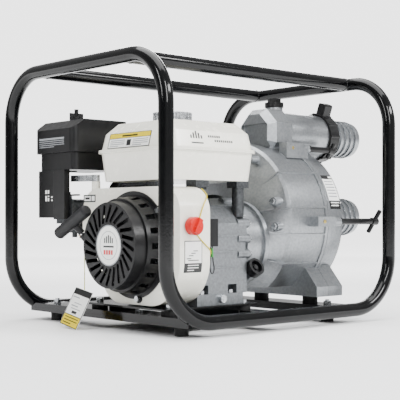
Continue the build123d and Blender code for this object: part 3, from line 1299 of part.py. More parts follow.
# ---------- the assembly ----------
def pieces():
    yield "frame_hoop_engine_end", frame_hoop(-1)
    yield "frame_hoop_pump_end", frame_hoop(1)
    yield "top_rails", top_rails()
    yield "cross_members", cross_members()
    yield "bed_plate", bed_plate()
    yield "rubber_feet", rubber_feet()
    yield "isolators", isolators()
    yield "frame_fasteners", frame_fasteners()
    yield "crankcase", crankcase()
    yield "crankcase_cover", crankcase_cover()
    yield "cylinder", cylinder()
    yield "cylinder_head", cylinder_head()
    yield "rocker_cover", rocker_cover()
    yield "crankshaft", crankshaft()
    yield "connecting_rod", connecting_rod()
    yield "piston", piston()
    yield "flywheel", flywheel()
    yield "blower_shroud", blower_shroud()
    yield "recoil_cover", recoil_cover()
    yield "recoil_pulley", recoil_pulley()
    yield "recoil_grip", recoil_grip()
    yield "recoil_rope", recoil_rope()
    yield "machine_screws", Compound(children=engine_screws().solids() + pump_screws().solids())
    yield "tank_upper", tank_upper()
    yield "tank_lower", tank_lower()
    yield "fuel_cap", fuel_cap()
    yield "tank_brackets", tank_brackets()
    yield "air_cleaner_lid", air_cleaner_lid()
    yield "air_cleaner_base", air_cleaner_base()
    yield "air_filter", air_filter()
    yield "air_cleaner_nut", air_cleaner_nut()
    yield "carburetor", carburetor()
    yield "choke_lever", choke_lever()
    yield "throttle_lever", throttle_lever()
    yield "muffler_and_guard", Compound(children=[muffler(), muffler_guard()])
    yield "spark_plug", spark_plug()
    yield "stop_switch_base", stop_switch_base()
    yield "stop_switch_knob", stop_switch_knob()
    yield "oil_alert_box", oil_alert_box()
    yield "engine_wires", engine_wires()
    yield "oil_filler_cap", oil_filler_cap()
    yield "pump_adapter", pump_adapter()
    yield "pump_casing", pump_casing()
    yield "pump_cover", pump_cover()
    yield "cover_gasket", cover_gasket()
    yield "impeller", impeller()
    yield "volute", volute()
    yield "shaft_seal", shaft_seal()
    yield "discharge_ring", coupling_ring(DISCHARGE_Z)
    yield "suction_ring", coupling_ring(SUCTION_Z)
    yield "hose_barbs", hose_barbs()
    yield "priming_cap", priming_cap()
    for side in SWING_PLACES:
        yield f"swing_bolt_{side}", swing_bolt(side)
        yield f"t_handle_{side}", t_handle(side)
    yield "hang_tag", hang_tag()
    yield "tag_string", tag_string()


os.makedirs("parts", exist_ok=True)
for name, shape in pieces():
    export_step(Pos(SHIFT_X, 0, 0) * shape, f"parts/{name}.step")
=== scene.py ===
import json
import math
import random

import bmesh
import bpy
from mathutils import Euler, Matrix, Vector
from mathutils.bvhtree import BVHTree


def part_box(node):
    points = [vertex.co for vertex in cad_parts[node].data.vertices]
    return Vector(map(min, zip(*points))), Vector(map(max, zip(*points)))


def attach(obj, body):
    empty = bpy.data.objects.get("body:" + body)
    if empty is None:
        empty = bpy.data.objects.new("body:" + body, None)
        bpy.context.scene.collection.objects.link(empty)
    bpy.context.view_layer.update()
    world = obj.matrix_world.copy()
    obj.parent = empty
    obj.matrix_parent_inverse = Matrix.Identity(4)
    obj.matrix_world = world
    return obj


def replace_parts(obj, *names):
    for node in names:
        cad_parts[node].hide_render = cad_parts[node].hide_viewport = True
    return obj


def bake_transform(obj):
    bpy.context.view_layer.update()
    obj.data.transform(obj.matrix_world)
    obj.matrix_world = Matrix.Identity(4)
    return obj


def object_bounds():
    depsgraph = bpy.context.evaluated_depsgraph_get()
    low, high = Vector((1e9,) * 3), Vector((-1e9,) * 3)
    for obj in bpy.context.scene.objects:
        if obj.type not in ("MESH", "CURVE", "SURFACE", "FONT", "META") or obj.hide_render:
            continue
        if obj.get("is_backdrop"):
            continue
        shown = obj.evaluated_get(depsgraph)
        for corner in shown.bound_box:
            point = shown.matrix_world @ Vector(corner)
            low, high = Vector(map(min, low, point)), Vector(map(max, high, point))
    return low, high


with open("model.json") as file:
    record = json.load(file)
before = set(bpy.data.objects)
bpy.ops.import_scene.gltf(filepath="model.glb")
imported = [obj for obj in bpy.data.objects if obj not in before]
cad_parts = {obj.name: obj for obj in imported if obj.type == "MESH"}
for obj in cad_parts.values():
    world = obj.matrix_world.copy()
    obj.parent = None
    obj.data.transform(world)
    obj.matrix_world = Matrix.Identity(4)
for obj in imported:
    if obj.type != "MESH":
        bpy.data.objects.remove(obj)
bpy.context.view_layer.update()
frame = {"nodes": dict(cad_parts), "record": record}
nodes = frame["nodes"]
rng = random.Random(7)

MM = 0.001          # lengths with _mm in their names are in millimetres, all others in metres

# How far each layer of a printed label stands off the face below it, in millimetres.
BASE, INK, FINE = 0.2, 0.34, 0.45
PAPER, TAG_INK, TAG_FINE = 0.12, 0.22, 0.32
UNDER_FACE = -0.3

LENS_MM = 91.3
SENSOR_MM = 36.0
LENS_SHIFT = 0.048
CAMERA_PLACE = (-1.3740, -1.4870, 0.1974)
CAMERA_TURN = -41.76        # degrees about the upright

FLOOR_REACH = 14.0
GLOW_FROM, GLOW_FULL = 1.1, 3.6     # distances from the middle over which the floor begins to glow
FLOOR_GLOW = 2.4
BACKDROP_GLOW = 3.2
ROOM_GLOW = (0.12, 0.62)    # at the starter's end, and everywhere else

# name, place, aim, size and watts of each soft box
SOFT_BOXES = [
    ("key_strip", (0.9, -2.2, 1.7), (0.1, -0.1, 0.25), (1.6, 0.5), 75.0),
    ("front_box", (-1.1, -2.3, 1.5), (-0.1, 0.0, 0.2), (0.35, 1.4), 42.0),
    ("end_strip", (-2.4, -0.1, 1.4), (-0.2, 0.0, 0.3), (0.3, 1.2), 24.0),
    ("top_box", (0.0, 0.2, 3.0), (0.0, 0.2, 0.0), (3.2, 3.2), 190.0),
    ("back_box", (1.6, 1.8, 1.4), (0.0, 0.0, 0.3), (1.2, 0.8), 40.0),
]


# ---------- camera, floor and light ----------
def camera_and_studio():
    """A long lens at pump height, a pale floor and soft boxes on both sides."""
    scene = bpy.context.scene
    lens = bpy.data.cameras.new("camera")
    lens.lens = LENS_MM
    lens.sensor_width = SENSOR_MM
    lens.shift_y = LENS_SHIFT
    camera = bpy.data.objects.new("camera", lens)
    camera.location = CAMERA_PLACE
    camera.rotation_euler = (math.radians(90), 0, math.radians(CAMERA_TURN))
    scene.collection.objects.link(camera)
    scene.camera = camera

    floor = bpy.data.objects.new("floor", bpy.data.meshes.new("floor"))
    corners = [(x * FLOOR_REACH, y * FLOOR_REACH, 0) for x, y in ((-1, -1), (1, -1), (1, 1), (-1, 1))]
    floor.data.from_pydata(corners, [], [(0, 1, 2, 3)])
    floor.data.materials.append(pale_floor())
    scene.collection.objects.link(floor)
    floor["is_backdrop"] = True

    world = bpy.data.worlds.new("studio")
    scene.world = world
    world.use_nodes = True
    tree = world.node_tree
    place = add(tree, "ShaderNodeTexCoord").outputs["Generated"]
    split = add(tree, "ShaderNodeSeparateXYZ", {"Vector": place})
    # The backdrop is bright, and the room round it is dim, so that black paint stays black.
    backdrop = add(tree, "ShaderNodeLightPath").outputs["Is Camera Ray"]
    room = add(tree, "ShaderNodeMapRange", {"Value": split.outputs["X"]}, From_Min=-0.95, From_Max=-0.5,
               To_Min=ROOM_GLOW[0], To_Max=ROOM_GLOW[1]).outputs["Result"]
    glow = add(tree, "ShaderNodeMix", {"Factor": backdrop, "A": room}, data_type="FLOAT")
    glow.inputs["B"].default_value = BACKDROP_GLOW
    tree.links.new(glow.outputs["Result"], tree.nodes["Background"].inputs["Strength"])
    tree.nodes["Background"].inputs["Color"].default_value = (1, 1, 1, 1)

    for name, place, aim, size, watts in SOFT_BOXES:
        light = bpy.data.lights.new(name, "AREA")
        light.shape = "RECTANGLE"
        light.size, light.size_y = size
        light.energy = watts
        lamp = bpy.data.objects.new(name, light)
        lamp.location = place
        lamp.rotation_euler = (Vector(aim) - Vector(place)).to_track_quat("-Z", "Y").to_euler()
        scene.collection.objects.link(lamp)


# ---------- materials ----------
def linear(code):
    """An sRGB hex colour as linear RGBA."""
    channels = [int(code[i:i + 2], 16) / 255 for i in (0, 2, 4)]
    return tuple(c / 12.92 if c <= 0.04045 else ((c + 0.055) / 1.055) ** 2.4 for c in channels) + (1.0,)


def add(tree, kind, links=(), **values):
    """Adds a node, sets its sockets or settings by name and links others into it."""
    node = tree.nodes.new(kind)
    for key, value in values.items():
        name = key.replace("_", " ")
        socket = next((s for s in node.inputs if s.name.lower() == name.lower()), None)
        if socket is not None and not hasattr(node, key):
            socket.default_value = value
        else:
            setattr(node, key, value)
    for name, source in dict(links).items():
        tree.links.new(source, node.inputs[name])
    return node


def new_material(name):
    """An empty material, its node tree, its shader and the object's own coordinates."""
    material = bpy.data.materials.new(name)
    material.use_nodes = True
    tree = material.node_tree
    shader = tree.nodes["Principled BSDF"]
    place = add(tree, "ShaderNodeTexCoord").outputs["Object"]
    return material, tree, shader, place


def blotches(tree, place, size_mm, low=0.0, high=1.0, detail=3.0):
    """A noise of a real size, as a value between low and high."""
    noise = add(tree, "ShaderNodeTexNoise", {"Vector": place}, Scale=1000 / size_mm, Detail=detail)
    spread = add(tree, "ShaderNodeMapRange", {"Value": noise.outputs["Fac"]}, From_Min=0.3, From_Max=0.7,
                 To_Min=low, To_Max=high)
    return spread.outputs["Result"]


def two_tone(tree, shader, factor, dark, light):
    """Colours a surface between two near tones, as factor says."""
    mix = add(tree, "ShaderNodeMix", {"Factor": factor}, data_type="RGBA")
    first, second = [socket for socket in mix.inputs if socket.type == "RGBA"]
    first.default_value, second.default_value = linear(dark), linear(light)
    mixed = next(socket for socket in mix.outputs if socket.type == "RGBA")
    tree.links.new(mixed, shader.inputs["Base Color"])


def relief(tree, shader, height, depth_mm, edge_mm=0.0):
    """Bump of a real depth, over edges eased by a real radius."""
    bump = add(tree, "ShaderNodeBump", {"Height": height}, Distance=depth_mm * MM)
    bump.inputs["Strength"].default_value = 1.0
    if edge_mm:
        eased = add(tree, "ShaderNodeBevel", samples=4, Radius=edge_mm * MM)
        tree.links.new(eased.outputs["Normal"], bump.inputs["Normal"])
    tree.links.new(bump.outputs["Normal"], shader.inputs["Normal"])


def pale_floor():
    """Matt white studio board."""
    material, tree, shader, place = new_material("studio_board")
    two_tone(tree, shader, blotches(tree, place, 400), "f6f7f8", "fafafa")
    shader.inputs["Roughness"].default_value = 0.8
    # The board is a light table away from the object, so that no horizon shows.
    away = add(tree, "ShaderNodeVectorMath", {0: place}, operation="LENGTH").outputs["Value"]
    glow = add(tree, "ShaderNodeMapRange", {"Value": away}, From_Min=GLOW_FROM, From_Max=GLOW_FULL,
               To_Min=0.0, To_Max=FLOOR_GLOW)
    tree.links.new(glow.outputs["Result"], shader.inputs["Emission Strength"])
    shader.inputs["Emission Color"].default_value = (1, 1, 1, 1)
    return material


def powder_coated_tube():
    """Gloss black powder coat on steel tube: deep, wet-looking, with a faint orange peel."""
    material, tree, shader, place = new_material("gloss_powder_coat")
    two_tone(tree, shader, blotches(tree, place, 60), "030304", "060708")
    tree.links.new(blotches(tree, place, 18, 0.1, 0.15), shader.inputs["Roughness"])
    shader.inputs["IOR"].default_value = 1.5
    shader.inputs["Specular IOR Level"].default_value = 0.3
    # Orange peel is about 1 mm across and is drawn at 4 mm so that it shows.
    relief(tree, shader, blotches(tree, place, 4), 0.02)
    return material


def stove_enamel():
    """Warm white stove enamel on pressed steel: smooth, with a soft gloss."""
    material, tree, shader, place = new_material("white_stove_enamel")
    two_tone(tree, shader, blotches(tree, place, 90), "e6e4d8", "efede2")
    tree.links.new(blotches(tree, place, 14, 0.2, 0.3), shader.inputs["Roughness"])
    shader.inputs["IOR"].default_value = 1.5
    shader.inputs["Coat Weight"].default_value = 0.5
    shader.inputs["Coat Roughness"].default_value = 0.1
    relief(tree, shader, blotches(tree, place, 4), 0.03, edge_mm=1.2)
    return material


def cast_aluminium(name, dark, light, rough, grain_mm, depth_mm):
    """Unpainted casting: a grainy, faintly mottled grey skin with eased edges."""
    material, tree, shader, place = new_material(name)
    two_tone(tree, shader, blotches(tree, place, 5, detail=2.0), dark, light)
    tree.links.new(blotches(tree, place, 6, rough - 0.03, rough + 0.05), shader.inputs["Roughness"])
    shader.inputs["Metallic"].default_value = 0.9
    relief(tree, shader, blotches(tree, place, grain_mm), depth_mm, edge_mm=1.0)
    return material


def moulded_plastic(name, dark, light, rough, grain_mm=1.2, depth_mm=0.04, edge_mm=0.8):
    """Injection-moulded plastic with a fine spark-eroded grain."""
    material, tree, shader, place = new_material(name)
    two_tone(tree, shader, blotches(tree, place, 35), dark, light)
    tree.links.new(blotches(tree, place, 11, rough - 0.05, rough + 0.07), shader.inputs["Roughness"])
    shader.inputs["IOR"].default_value = 1.49
    shader.inputs["Specular IOR Level"].default_value = 0.3
    relief(tree, shader, blotches(tree, place, grain_mm), depth_mm, edge_mm)
    return material


def plated_steel(name, dark, light, rough):
    """Plated or machined metal: bright and slightly cloudy."""
    material, tree, shader, place = new_material(name)
    two_tone(tree, shader, blotches(tree, place, 6), dark, light)
    tree.links.new(blotches(tree, place, 4, rough - 0.06, rough + 0.1), shader.inputs["Roughness"])
    shader.inputs["Metallic"].default_value = 1.0
    relief(tree, shader, blotches(tree, place, 2), 0.02, edge_mm=0.4)
    return material


def vulcanised_rubber():
    """Moulded black rubber: dull, with a faint bloom."""
    material, tree, shader, place = new_material("vulcanised_rubber")
    two_tone(tree, shader, blotches(tree, place, 12), "0a0a0a", "131312")
    tree.links.new(blotches(tree, place, 5, 0.6, 0.8), shader.inputs["Roughness"])
    relief(tree, shader, blotches(tree, place, 1.5), 0.08, edge_mm=1.0)
    return material


def reticulated_foam():
    """Open-cell filter foam, with cells about 2.5 mm across."""
    material, tree, shader, place = new_material("reticulated_foam")
    cells = add(tree, "ShaderNodeTexVoronoi", {"Vector": place}, Scale=1000 / 2.5)
    two_tone(tree, shader, cells.outputs["Distance"], "0d0d0d", "3a3a38")
    shader.inputs["Roughness"].default_value = 0.95
    relief(tree, shader, cells.outputs["Distance"], 0.6)
    return material


def printed(name, code):
    """Printed vinyl: flat ink under a thin laminate, with a slight tooth."""
    material, tree, shader, place = new_material(name)
    dark = "".join(f"{max(0, int(code[i:i + 2], 16) - 8):02x}" for i in (0, 2, 4))
    two_tone(tree, shader, blotches(tree, place, 8), dark, code)
    shader.inputs["Roughness"].default_value = 0.35
    relief(tree, shader, blotches(tree, place, 1.5), 0.01)
    return material


def insulated_wire(name, code):
    """Soft PVC insulation, slightly glossy."""
    material, tree, shader, place = new_material(name)
    shader.inputs["Base Color"].default_value = linear(code)
    tree.links.new(blotches(tree, place, 4, 0.3, 0.42), shader.inputs["Roughness"])
    relief(tree, shader, blotches(tree, place, 1), 0.02)
    return material


def twisted_twine(name, dark, light):
    """Laid twine: soft strands that turn round each other every 12 mm."""
    material, tree, shader, place = new_material(name)
    turns = add(tree, "ShaderNodeTexWave", {"Vector": place}, Scale=1000 / 12, Distortion=1.0)
    two_tone(tree, shader, turns.outputs["Fac"], dark, light)
    shader.inputs["Roughness"].default_value = 0.8
    relief(tree, shader, turns.outputs["Fac"], 0.2)
    return material


camera_and_studio()

finishes = {
    "coat": powder_coated_tube(),
    "enamel": stove_enamel(),
    "pump_cast": cast_aluminium("die_cast_aluminium", "8b8e91", "9b9ea1", 0.33, 1.6, 0.04),
    "engine_cast": cast_aluminium("sand_cast_aluminium", "737679", "85888b", 0.38, 1.8, 0.07),
    # A darker casting tone for the parts under the tank: painted shade for the shade the tank throws on them.
    "painted_shade_cast": cast_aluminium("shade_darkened_cast_aluminium", "3a3c3e", "505254", 0.4, 2.0, 0.09),
    "iron": cast_aluminium("grey_cast_iron", "3c3d3f", "5a5b5d", 0.55, 2.0, 0.12),
    "plastic": moulded_plastic("black_moulded_nylon", "070708", "0d0d0f", 0.34),
    "soft_plastic": moulded_plastic("black_grip_plastic", "08080a", "101114", 0.42),
    "red": moulded_plastic("red_moulded_abs", "b00804", "c00c06", 0.3),
    "zinc": plated_steel("bright_zinc_plate", "9fa2a6", "cdd0d2", 0.26),
    "yellow_zinc": plated_steel("yellow_zinc_plate", "a8914c", "d6c07a", 0.3),
    "steel": plated_steel("machined_steel", "7d8083", "a4a7aa", 0.34),
    "brass": plated_steel("machined_brass", "a5782c", "cf9f48", 0.3),
    "stove_black": moulded_plastic("black_stove_paint", "070707", "121110", 0.55, 2.0, 0.06),
    "rubber": vulcanised_rubber(),
    "foam": reticulated_foam(),
    "white_print": printed("white_vinyl", "f2f2ef"),
    "black_print": printed("black_ink", "141414"),
    "yellow_print": printed("yellow_ink", "dcc400"),
    "red_print": printed("red_ink", "c9252b"),
    "grey_print": printed("grey_ink", "8d9094"),
    "yellow_wire": insulated_wire("yellow_insulation", "c8b400"),
    "green_wire": insulated_wire("green_insulation", "2f8a3a"),
    "black_wire": insulated_wire("black_insulation", "121212"),
    "string": twisted_twine("yellow_twine", "b9bd2e", "dbe05a"),
    "rope": twisted_twine("black_starter_rope", "101010", "2b2b2b"),
}

node_finish = {
    "coat": ["frame_hoop_engine_end", "frame_hoop_pump_end", "top_rails", "cross_members", "bed_plate"],
    "enamel": ["blower_shroud", "tank_upper", "tank_lower"],
    "pump_cast": ["pump_adapter", "pump_casing", "pump_cover", "hose_barbs"],
    "engine_cast": ["crankcase", "crankcase_cover", "piston", "flywheel"],
    # The cylinder, head, tank brackets and carburetor sit under the tank and get the darker tone as painted
    # shade.
    "painted_shade_cast": ["cylinder", "cylinder_head", "tank_brackets", "carburetor"],
    "iron": ["impeller", "volute"],
    "plastic": ["recoil_cover", "recoil_pulley", "air_cleaner_lid", "air_cleaner_base", "air_cleaner_nut",
                "stop_switch_base", "oil_alert_box", "oil_filler_cap", "discharge_ring", "suction_ring",
                "priming_cap", "choke_lever", "t_handle_near", "t_handle_far", "t_handle_top"],
    "soft_plastic": ["recoil_grip"],
    "red": ["stop_switch_knob"],
    "zinc": ["fuel_cap", "machine_screws", "frame_fasteners", "throttle_lever"],
    "yellow_zinc": ["swing_bolt_near", "swing_bolt_far", "swing_bolt_top"],
    "steel": ["crankshaft", "connecting_rod", "shaft_seal"],
    "stove_black": ["muffler_and_guard", "rocker_cover"],
    "rubber": ["rubber_feet", "isolators", "cover_gasket", "spark_plug"],
    "foam": ["air_filter"],
    "rope": ["recoil_rope"],
    "white_print": ["hang_tag"],
}
for finish, names in node_finish.items():
    for name in names:
        mesh = nodes[name].data
        mesh.materials.clear()
        mesh.materials.append(finishes[finish])


# ---------- building pieces ----------
def keep(piece, body, slot, *finish_names):
    """Puts a new piece in the scene, on its body, with its finishes."""
    bpy.context.scene.collection.objects.link(piece)
    for name in finish_names:
        piece.data.materials.append(finishes[name])
    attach(piece, body)
    return piece


def mesh_piece(name, bm, smooth=False):
    """Closes a mesh under construction into a named object."""
    bmesh.ops.recalc_face_normals(bm, faces=bm.faces)
    mesh = bpy.data.meshes.new(name)
    bm.to_mesh(mesh)
    bm.free()
    if smooth:
        mesh.shade_smooth()
    return bpy.data.objects.new(name, mesh)


def middle(node):
    """The middle of a node's box."""
    low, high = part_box(node)
    return (Vector(low) + Vector(high)) / 2


def lead(name, points, radius_mm, slot, finish):
    """A round lead along listed points."""
    curve = bpy.data.curves.new(name, "CURVE")
    curve.dimensions = "3D"
    curve.bevel_depth = radius_mm * MM
    curve.bevel_resolution = 4
    curve.resolution_u = 16
    curve.use_fill_caps = True
    spline = curve.splines.new("NURBS")
    spline.points.add(len(points) - 1)
    for control, place in zip(spline.points, points):
        control.co = (*place, 1.0)
    spline.order_u = 3
    spline.use_endpoint_u = True
    return keep(bpy.data.objects.new(name, curve), "frame", slot, finish)


# ---------- the tag's string ----------
tag_low, tag_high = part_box("tag_string")
hang_x, hang_y = middle("tag_string").x, middle("tag_string").y
STRING_MM = 1.6
string_run = [(hang_x, hang_y, z) for z in (tag_high[2], 0.128, 0.098, tag_low[2])]
tag_string = lead("hang_string", string_run, STRING_MM / 2, "yellow_cord", "string")
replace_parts(tag_string, "tag_string")


# ---------- the starter's rope ----------
ROPE_RADIUS_MM = 2.2


def starter_rope():
    """The rope pays out of the starter's guide as the grip is pulled; here it is a straight rope that spans
    between them, along the pull.
    """
    pull = next(Vector(joint["axis"]) for joint in frame["record"]["behaviour"]["joints"]
                if joint["name"] == "starter_pull").normalized()
    radius = ROPE_RADIUS_MM * MM
    low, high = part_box("recoil_rope")
    edge = [radius * math.sqrt(1 - part * part) for part in pull]
    foot = Vector((high[0] - edge[0], low[1] + edge[1], low[2] + edge[2]))
    top = Vector((low[0] + edge[0], high[1] - edge[1], high[2] - edge[2]))
    turn = pull.to_track_quat("Z", "Y").to_matrix()
    bm = bmesh.new()
    around, along = 16, 40
    circle = [turn @ Vector((math.cos(math.tau * i / around), math.sin(math.tau * i / around), 0)) * radius
              for i in range(around)]
    rings = [[bm.verts.new(foot.lerp(top, j / along) + spot) for spot in circle] for j in range(along + 1)]
    for here, there in zip(rings, rings[1:]):
        for i in range(around):
            k = (i + 1) % around
            bm.faces.new((here[i], here[k], there[k], there[i]))
    bm.faces.new(reversed(rings[0]))
    bm.faces.new(rings[-1])
    rope = mesh_piece("starter_rope", bm, smooth=True)
    rope.data.materials.append(finishes["rope"])
    bpy.context.scene.collection.objects.link(rope)
    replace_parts(rope, "recoil_rope")
    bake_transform(rope)


# ---------- printed labels ----------
class Print:
    """A thin printed label laid on a CAD face: patches of ink, each pressed onto the face behind it."""

    def __init__(self, node, centre, across, up):
        mesh = nodes[node].data
        self.face = BVHTree.FromPolygons([v.co for v in mesh.vertices], [p.vertices for p in mesh.polygons])
        self.centre = Vector(centre)
        self.across, self.up = Vector(across).normalized(), Vector(up).normalized()
        self.into = -self.across.cross(self.up)
        self.bm = bmesh.new()

    def press(self, u, v, lift_mm):
        """A place on the label, dropped onto the face and lifted off it."""
        spot = self.centre + self.across * u * MM + self.up * v * MM
        hit = self.face.ray_cast(spot - self.into * 0.03, self.into, 0.08)[0] or spot
        return hit - self.into * lift_mm * MM

    def lay(self, rows, lift_mm, ink, closed):
        """Skins rows of (u, v) places into a closed thin patch."""
        top = [[self.bm.verts.new(self.press(u, v, lift_mm)) for u, v in row] for row in rows]
        low = [[self.bm.verts.new(self.press(u, v, UNDER_FACE)) for u, v in row] for row in rows]
        count = len(rows[0])
        steps = [(i, (i + 1) % count) for i in range(count if closed else count - 1)]
        faces = []
        for a, b in zip(range(len(rows)), range(1, len(rows))):
            for i, j in steps:
                faces.append((top[a][i], top[a][j], top[b][j], top[b][i]))
                faces.append((low[b][i], low[b][j], low[a][j], low[a][i]))
        for i, j in steps:
            faces.append((low[0][i], low[0][j], top[0][j], top[0][i]))
            faces.append((top[-1][i], top[-1][j], low[-1][j], low[-1][i]))
        if not closed:
            for a, b in zip(range(len(rows)), range(1, len(rows))):
                faces.append((top[a][0], top[b][0], low[b][0], low[a][0]))
                faces.append((low[a][-1], low[b][-1], top[b][-1], top[a][-1]))
        for corners in faces:
            self.bm.faces.new(corners).material_index = ink

    def block(self, u0, v0, u1, v1, lift_mm, ink, step_mm=5.0):
        """A rectangle of ink from (u0, v0) to (u1, v1), in millimetres from the label's centre."""
        columns = max(1, round(abs(u1 - u0) / step_mm))
        lines = max(1, round(abs(v1 - v0) / step_mm))
        self.lay([[(u0 + (u1 - u0) * i / columns, v0 + (v1 - v0) * j / lines) for i in range(columns + 1)]
                  for j in range(lines + 1)], lift_mm, ink, False)

    def ring(self, inner, outer, lift_mm, ink, turns=48):
        """A round band of ink between two radii."""
        self.lay([[(r * math.cos(math.tau * i / turns), r * math.sin(math.tau * i / turns))
                   for i in range(turns)] for r in (inner, outer)], lift_mm, ink, True)

    def lines(self, u0, u1, v_top, pitch, count, thick, ink, lift_mm=INK):
        """Rows of plain bars that stand for printing."""
        v = v_top
        for n in range(count):
            reach = u1 if n < count - 1 else u0 + (u1 - u0) * 0.6
            self.block(u0, v - thick, reach, v, lift_mm, ink, step_mm=8.0)
            v -= pitch

    def finish(self, name, *inks, body="frame"):
        """Fixes the label to its body. The inks are numbered from 0 in the blocks."""
        keep(mesh_piece(name, self.bm), body, "card", *inks)


def starter_badge():
    """The round badge on the starter: rings, a plain mark and four red blocks."""
    shaft = middle("crankshaft")
    centre = (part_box("recoil_cover")[0][0], shaft.y, shaft.z)
    badge = Print("recoil_cover", centre, (0, -1, 0), (0, 0, 1))
    badge.ring(0.02, 35.5, 0.25, 0)
    badge.ring(33.5, 35.5, 0.4, 1)
    badge.ring(24.0, 25.0, 0.4, 1)
    for at, tall in ((-11, 9), (-5.5, 12), (0, 14), (5.5, 12), (11, 9)):
        badge.block(at - 1.6, 4, at + 1.6, 4 + tall, FINE, 2)
    badge.block(-15, -3.5, 15, -0.5, FINE, 2)
    for u in (-14, -7, 0, 7):
        badge.block(u, -16, u + 5.2, -8, FINE, 3)
    badge.finish("starter_badge", "white_print", "grey_print", "black_print", "red_print")


def tank_end_label():
    """The notice on the tank's starter end: a yellow band over two columns of bars."""
    label = Print("tank_upper", (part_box("tank_upper")[0][0], -0.060, 0.3385), (0, -1, 0), (0, 0, 1))
    label.block(-60, -14, 60, 14, BASE, 0)
    label.block(-58, 4.5, 58, 12.5, INK, 1)
    label.block(-22, 6.5, 22, 9.5, FINE, 2)
    label.block(-58, -12.5, 58, 3.5, INK, 3)
    label.lines(-54, -12, 1.0, 3.4, 4, 1.5, 4, FINE)
    label.lines(12, 54, 1.0, 3.4, 4, 1.5, 4, FINE)
    label.block(-6, -10, 6, 1, FINE, 2)
    label.finish("tank_end_label", "black_print", "yellow_print", "black_print", "white_print", "grey_print")


def tank_side_marks():
    """A plain mark and two rows of blocks on the tank's near side."""
    marks = Print("tank_upper", (-0.205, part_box("tank_upper")[0][1], 0.338), (1, 0, 0), (0, 0, 1))
    for at, tall in ((-12, 6), (-6, 10), (0, 13), (6, 10), (12, 6)):
        marks.block(at - 1.8, 0, at + 1.8, tall, BASE, 0)
    marks.block(-13, -9, 15, -6.5, BASE, 0)
    for u, v, reach in ((28, 3, 34), (42, -4.5, 46)):
        for part in range(int(reach / 5)):
            marks.block(u + part * 5, v, u + part * 5 + 3.4, v + 4, BASE, 0)
    marks.finish("tank_side_marks", "black_print")


def cleaner_labels():
    """Bars on the air cleaner's lid and plain marks on its lower panel."""
    low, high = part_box("air_cleaner_lid")
    centre = (low[0], (low[1] + high[1]) / 2 + 0.006, 0.3425)
    label = Print("air_cleaner_lid", centre, (0, -1, 0), (0, 0, 1))
    label.block(-42, 5.5, 42, 9.0, BASE, 0)
    label.lines(-42, 42, 3.5, 3.6, 4, 1.3, 0, BASE)
    label.finish("cleaner_lid_label", "grey_print", body="cleaner_lid")
    label = Print("air_cleaner_base", (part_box("air_cleaner_base")[0][0], 0.150, 0.238), (0, -1, 0), (0, 0, 1))
    marks = ((-17, 8, 7), (-9, 8, 7), (-17, -6, 10), (-9, -6, 6), (-9, 2.5, 2), (3, -6, 3), (3, 0, 3))
    for u, v, tall in marks:
        label.block(u, v, u + 5, v + tall, BASE, 0)
    label.finish("cleaner_panel_marks", "white_print")


def shroud_labels():
    """The small label over the starter and the larger one beside the switch."""
    low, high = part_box("blower_shroud")
    label = Print("blower_shroud", (low[0], 0.058, 0.236), (0, -1, 0), (0, 0, 1))
    label.block(-19, -7, 19, 7, BASE, 0)
    label.block(-16, -4.5, 4, 4.5, INK, 1)
    label.block(7, -4.5, 16, 4.5, INK, 1)
    label.block(-13, -2, 1, 2, FINE, 0)
    label.finish("shroud_end_label", "black_print", "white_print")
    label = Print("blower_shroud", (-0.240, low[1], 0.134), (1, 0, 0), (0, 0, 1))
    label.block(-20, -27, 20, 27, BASE, 0)
    label.block(-18.5, -11, 18.5, 25.5, INK, 1)
    for u, v in ((-10, 2), (-5, 7), (0, 11), (5, 15)):
        label.block(u - 5, v - 6, u + 5, v - 4.5, FINE, 0)
    label.block(-12, -7, 12, -5.5, FINE, 0)
    label.lines(-12, 12, -14, 4.2, 3, 1.4, 1, INK)
    label.finish("shroud_side_label", "black_print", "white_print")


def cover_label():
    """The data label wrapped on the pump cover."""
    label = Print("pump_cover", (0.162, -0.180, 0.262), (1, 0, 0), (0, 0.52, 0.854))
    label.block(-23, -36, 23, 36, BASE, 1)
    label.block(-23, 27, 23, 36, INK, 0)
    label.block(-2, 29.5, 20, 33.5, FINE, 1)
    label.lines(-20, 19, 22, 6.5, 6, 2.2, 2, INK)
    label.block(-23, -36, 23, -20, INK, 0)
    label.lines(-19, 18, -23, 5.5, 2, 2.0, 1, FINE)
    label.finish("pump_label", "black_print", "white_print", "grey_print")


TAG_SWING, TAG_LEAN = 9, 24     # degrees


def tag_print():
    """Both faces of the hanging tag, which leans and turns a little."""
    turn = Euler((math.radians(TAG_SWING), 0, 0)).to_matrix()
    turn.rotate(Euler((0, math.radians(TAG_LEAN), 0)))
    for name, side in (("tag_front_print", -1), ("tag_back_print", 1)):
        face = Print("hang_tag", middle("hang_tag"), turn @ Vector((0, side, 0)), turn @ Vector((0, 0, 1)))
        face.block(-28.5, -35.5, 28.5, 35.5, PAPER, 0)
        face.block(-26.5, -14, 26.5, 24, TAG_INK, 1)
        face.block(-26.5, -34, 26.5, -15.5, TAG_INK, 2)
        face.lines(-22, 22, -18.5, 5.2, 3, 1.8, 0, TAG_FINE)
        face.block(-18, 2, 4, 4, TAG_FINE, 3)
        face.block(-12, 8, 12, 9.5, TAG_FINE, 3)
        face.block(-15, -3, 16, -1.4, TAG_FINE, 3)
        face.block(-8, -11, 8, -6, TAG_FINE, 0)
        face.block(-24, 18, -2, 20, TAG_FINE, 3)
        face.finish(name, "black_print", "white_print", "yellow_print", "grey_print")


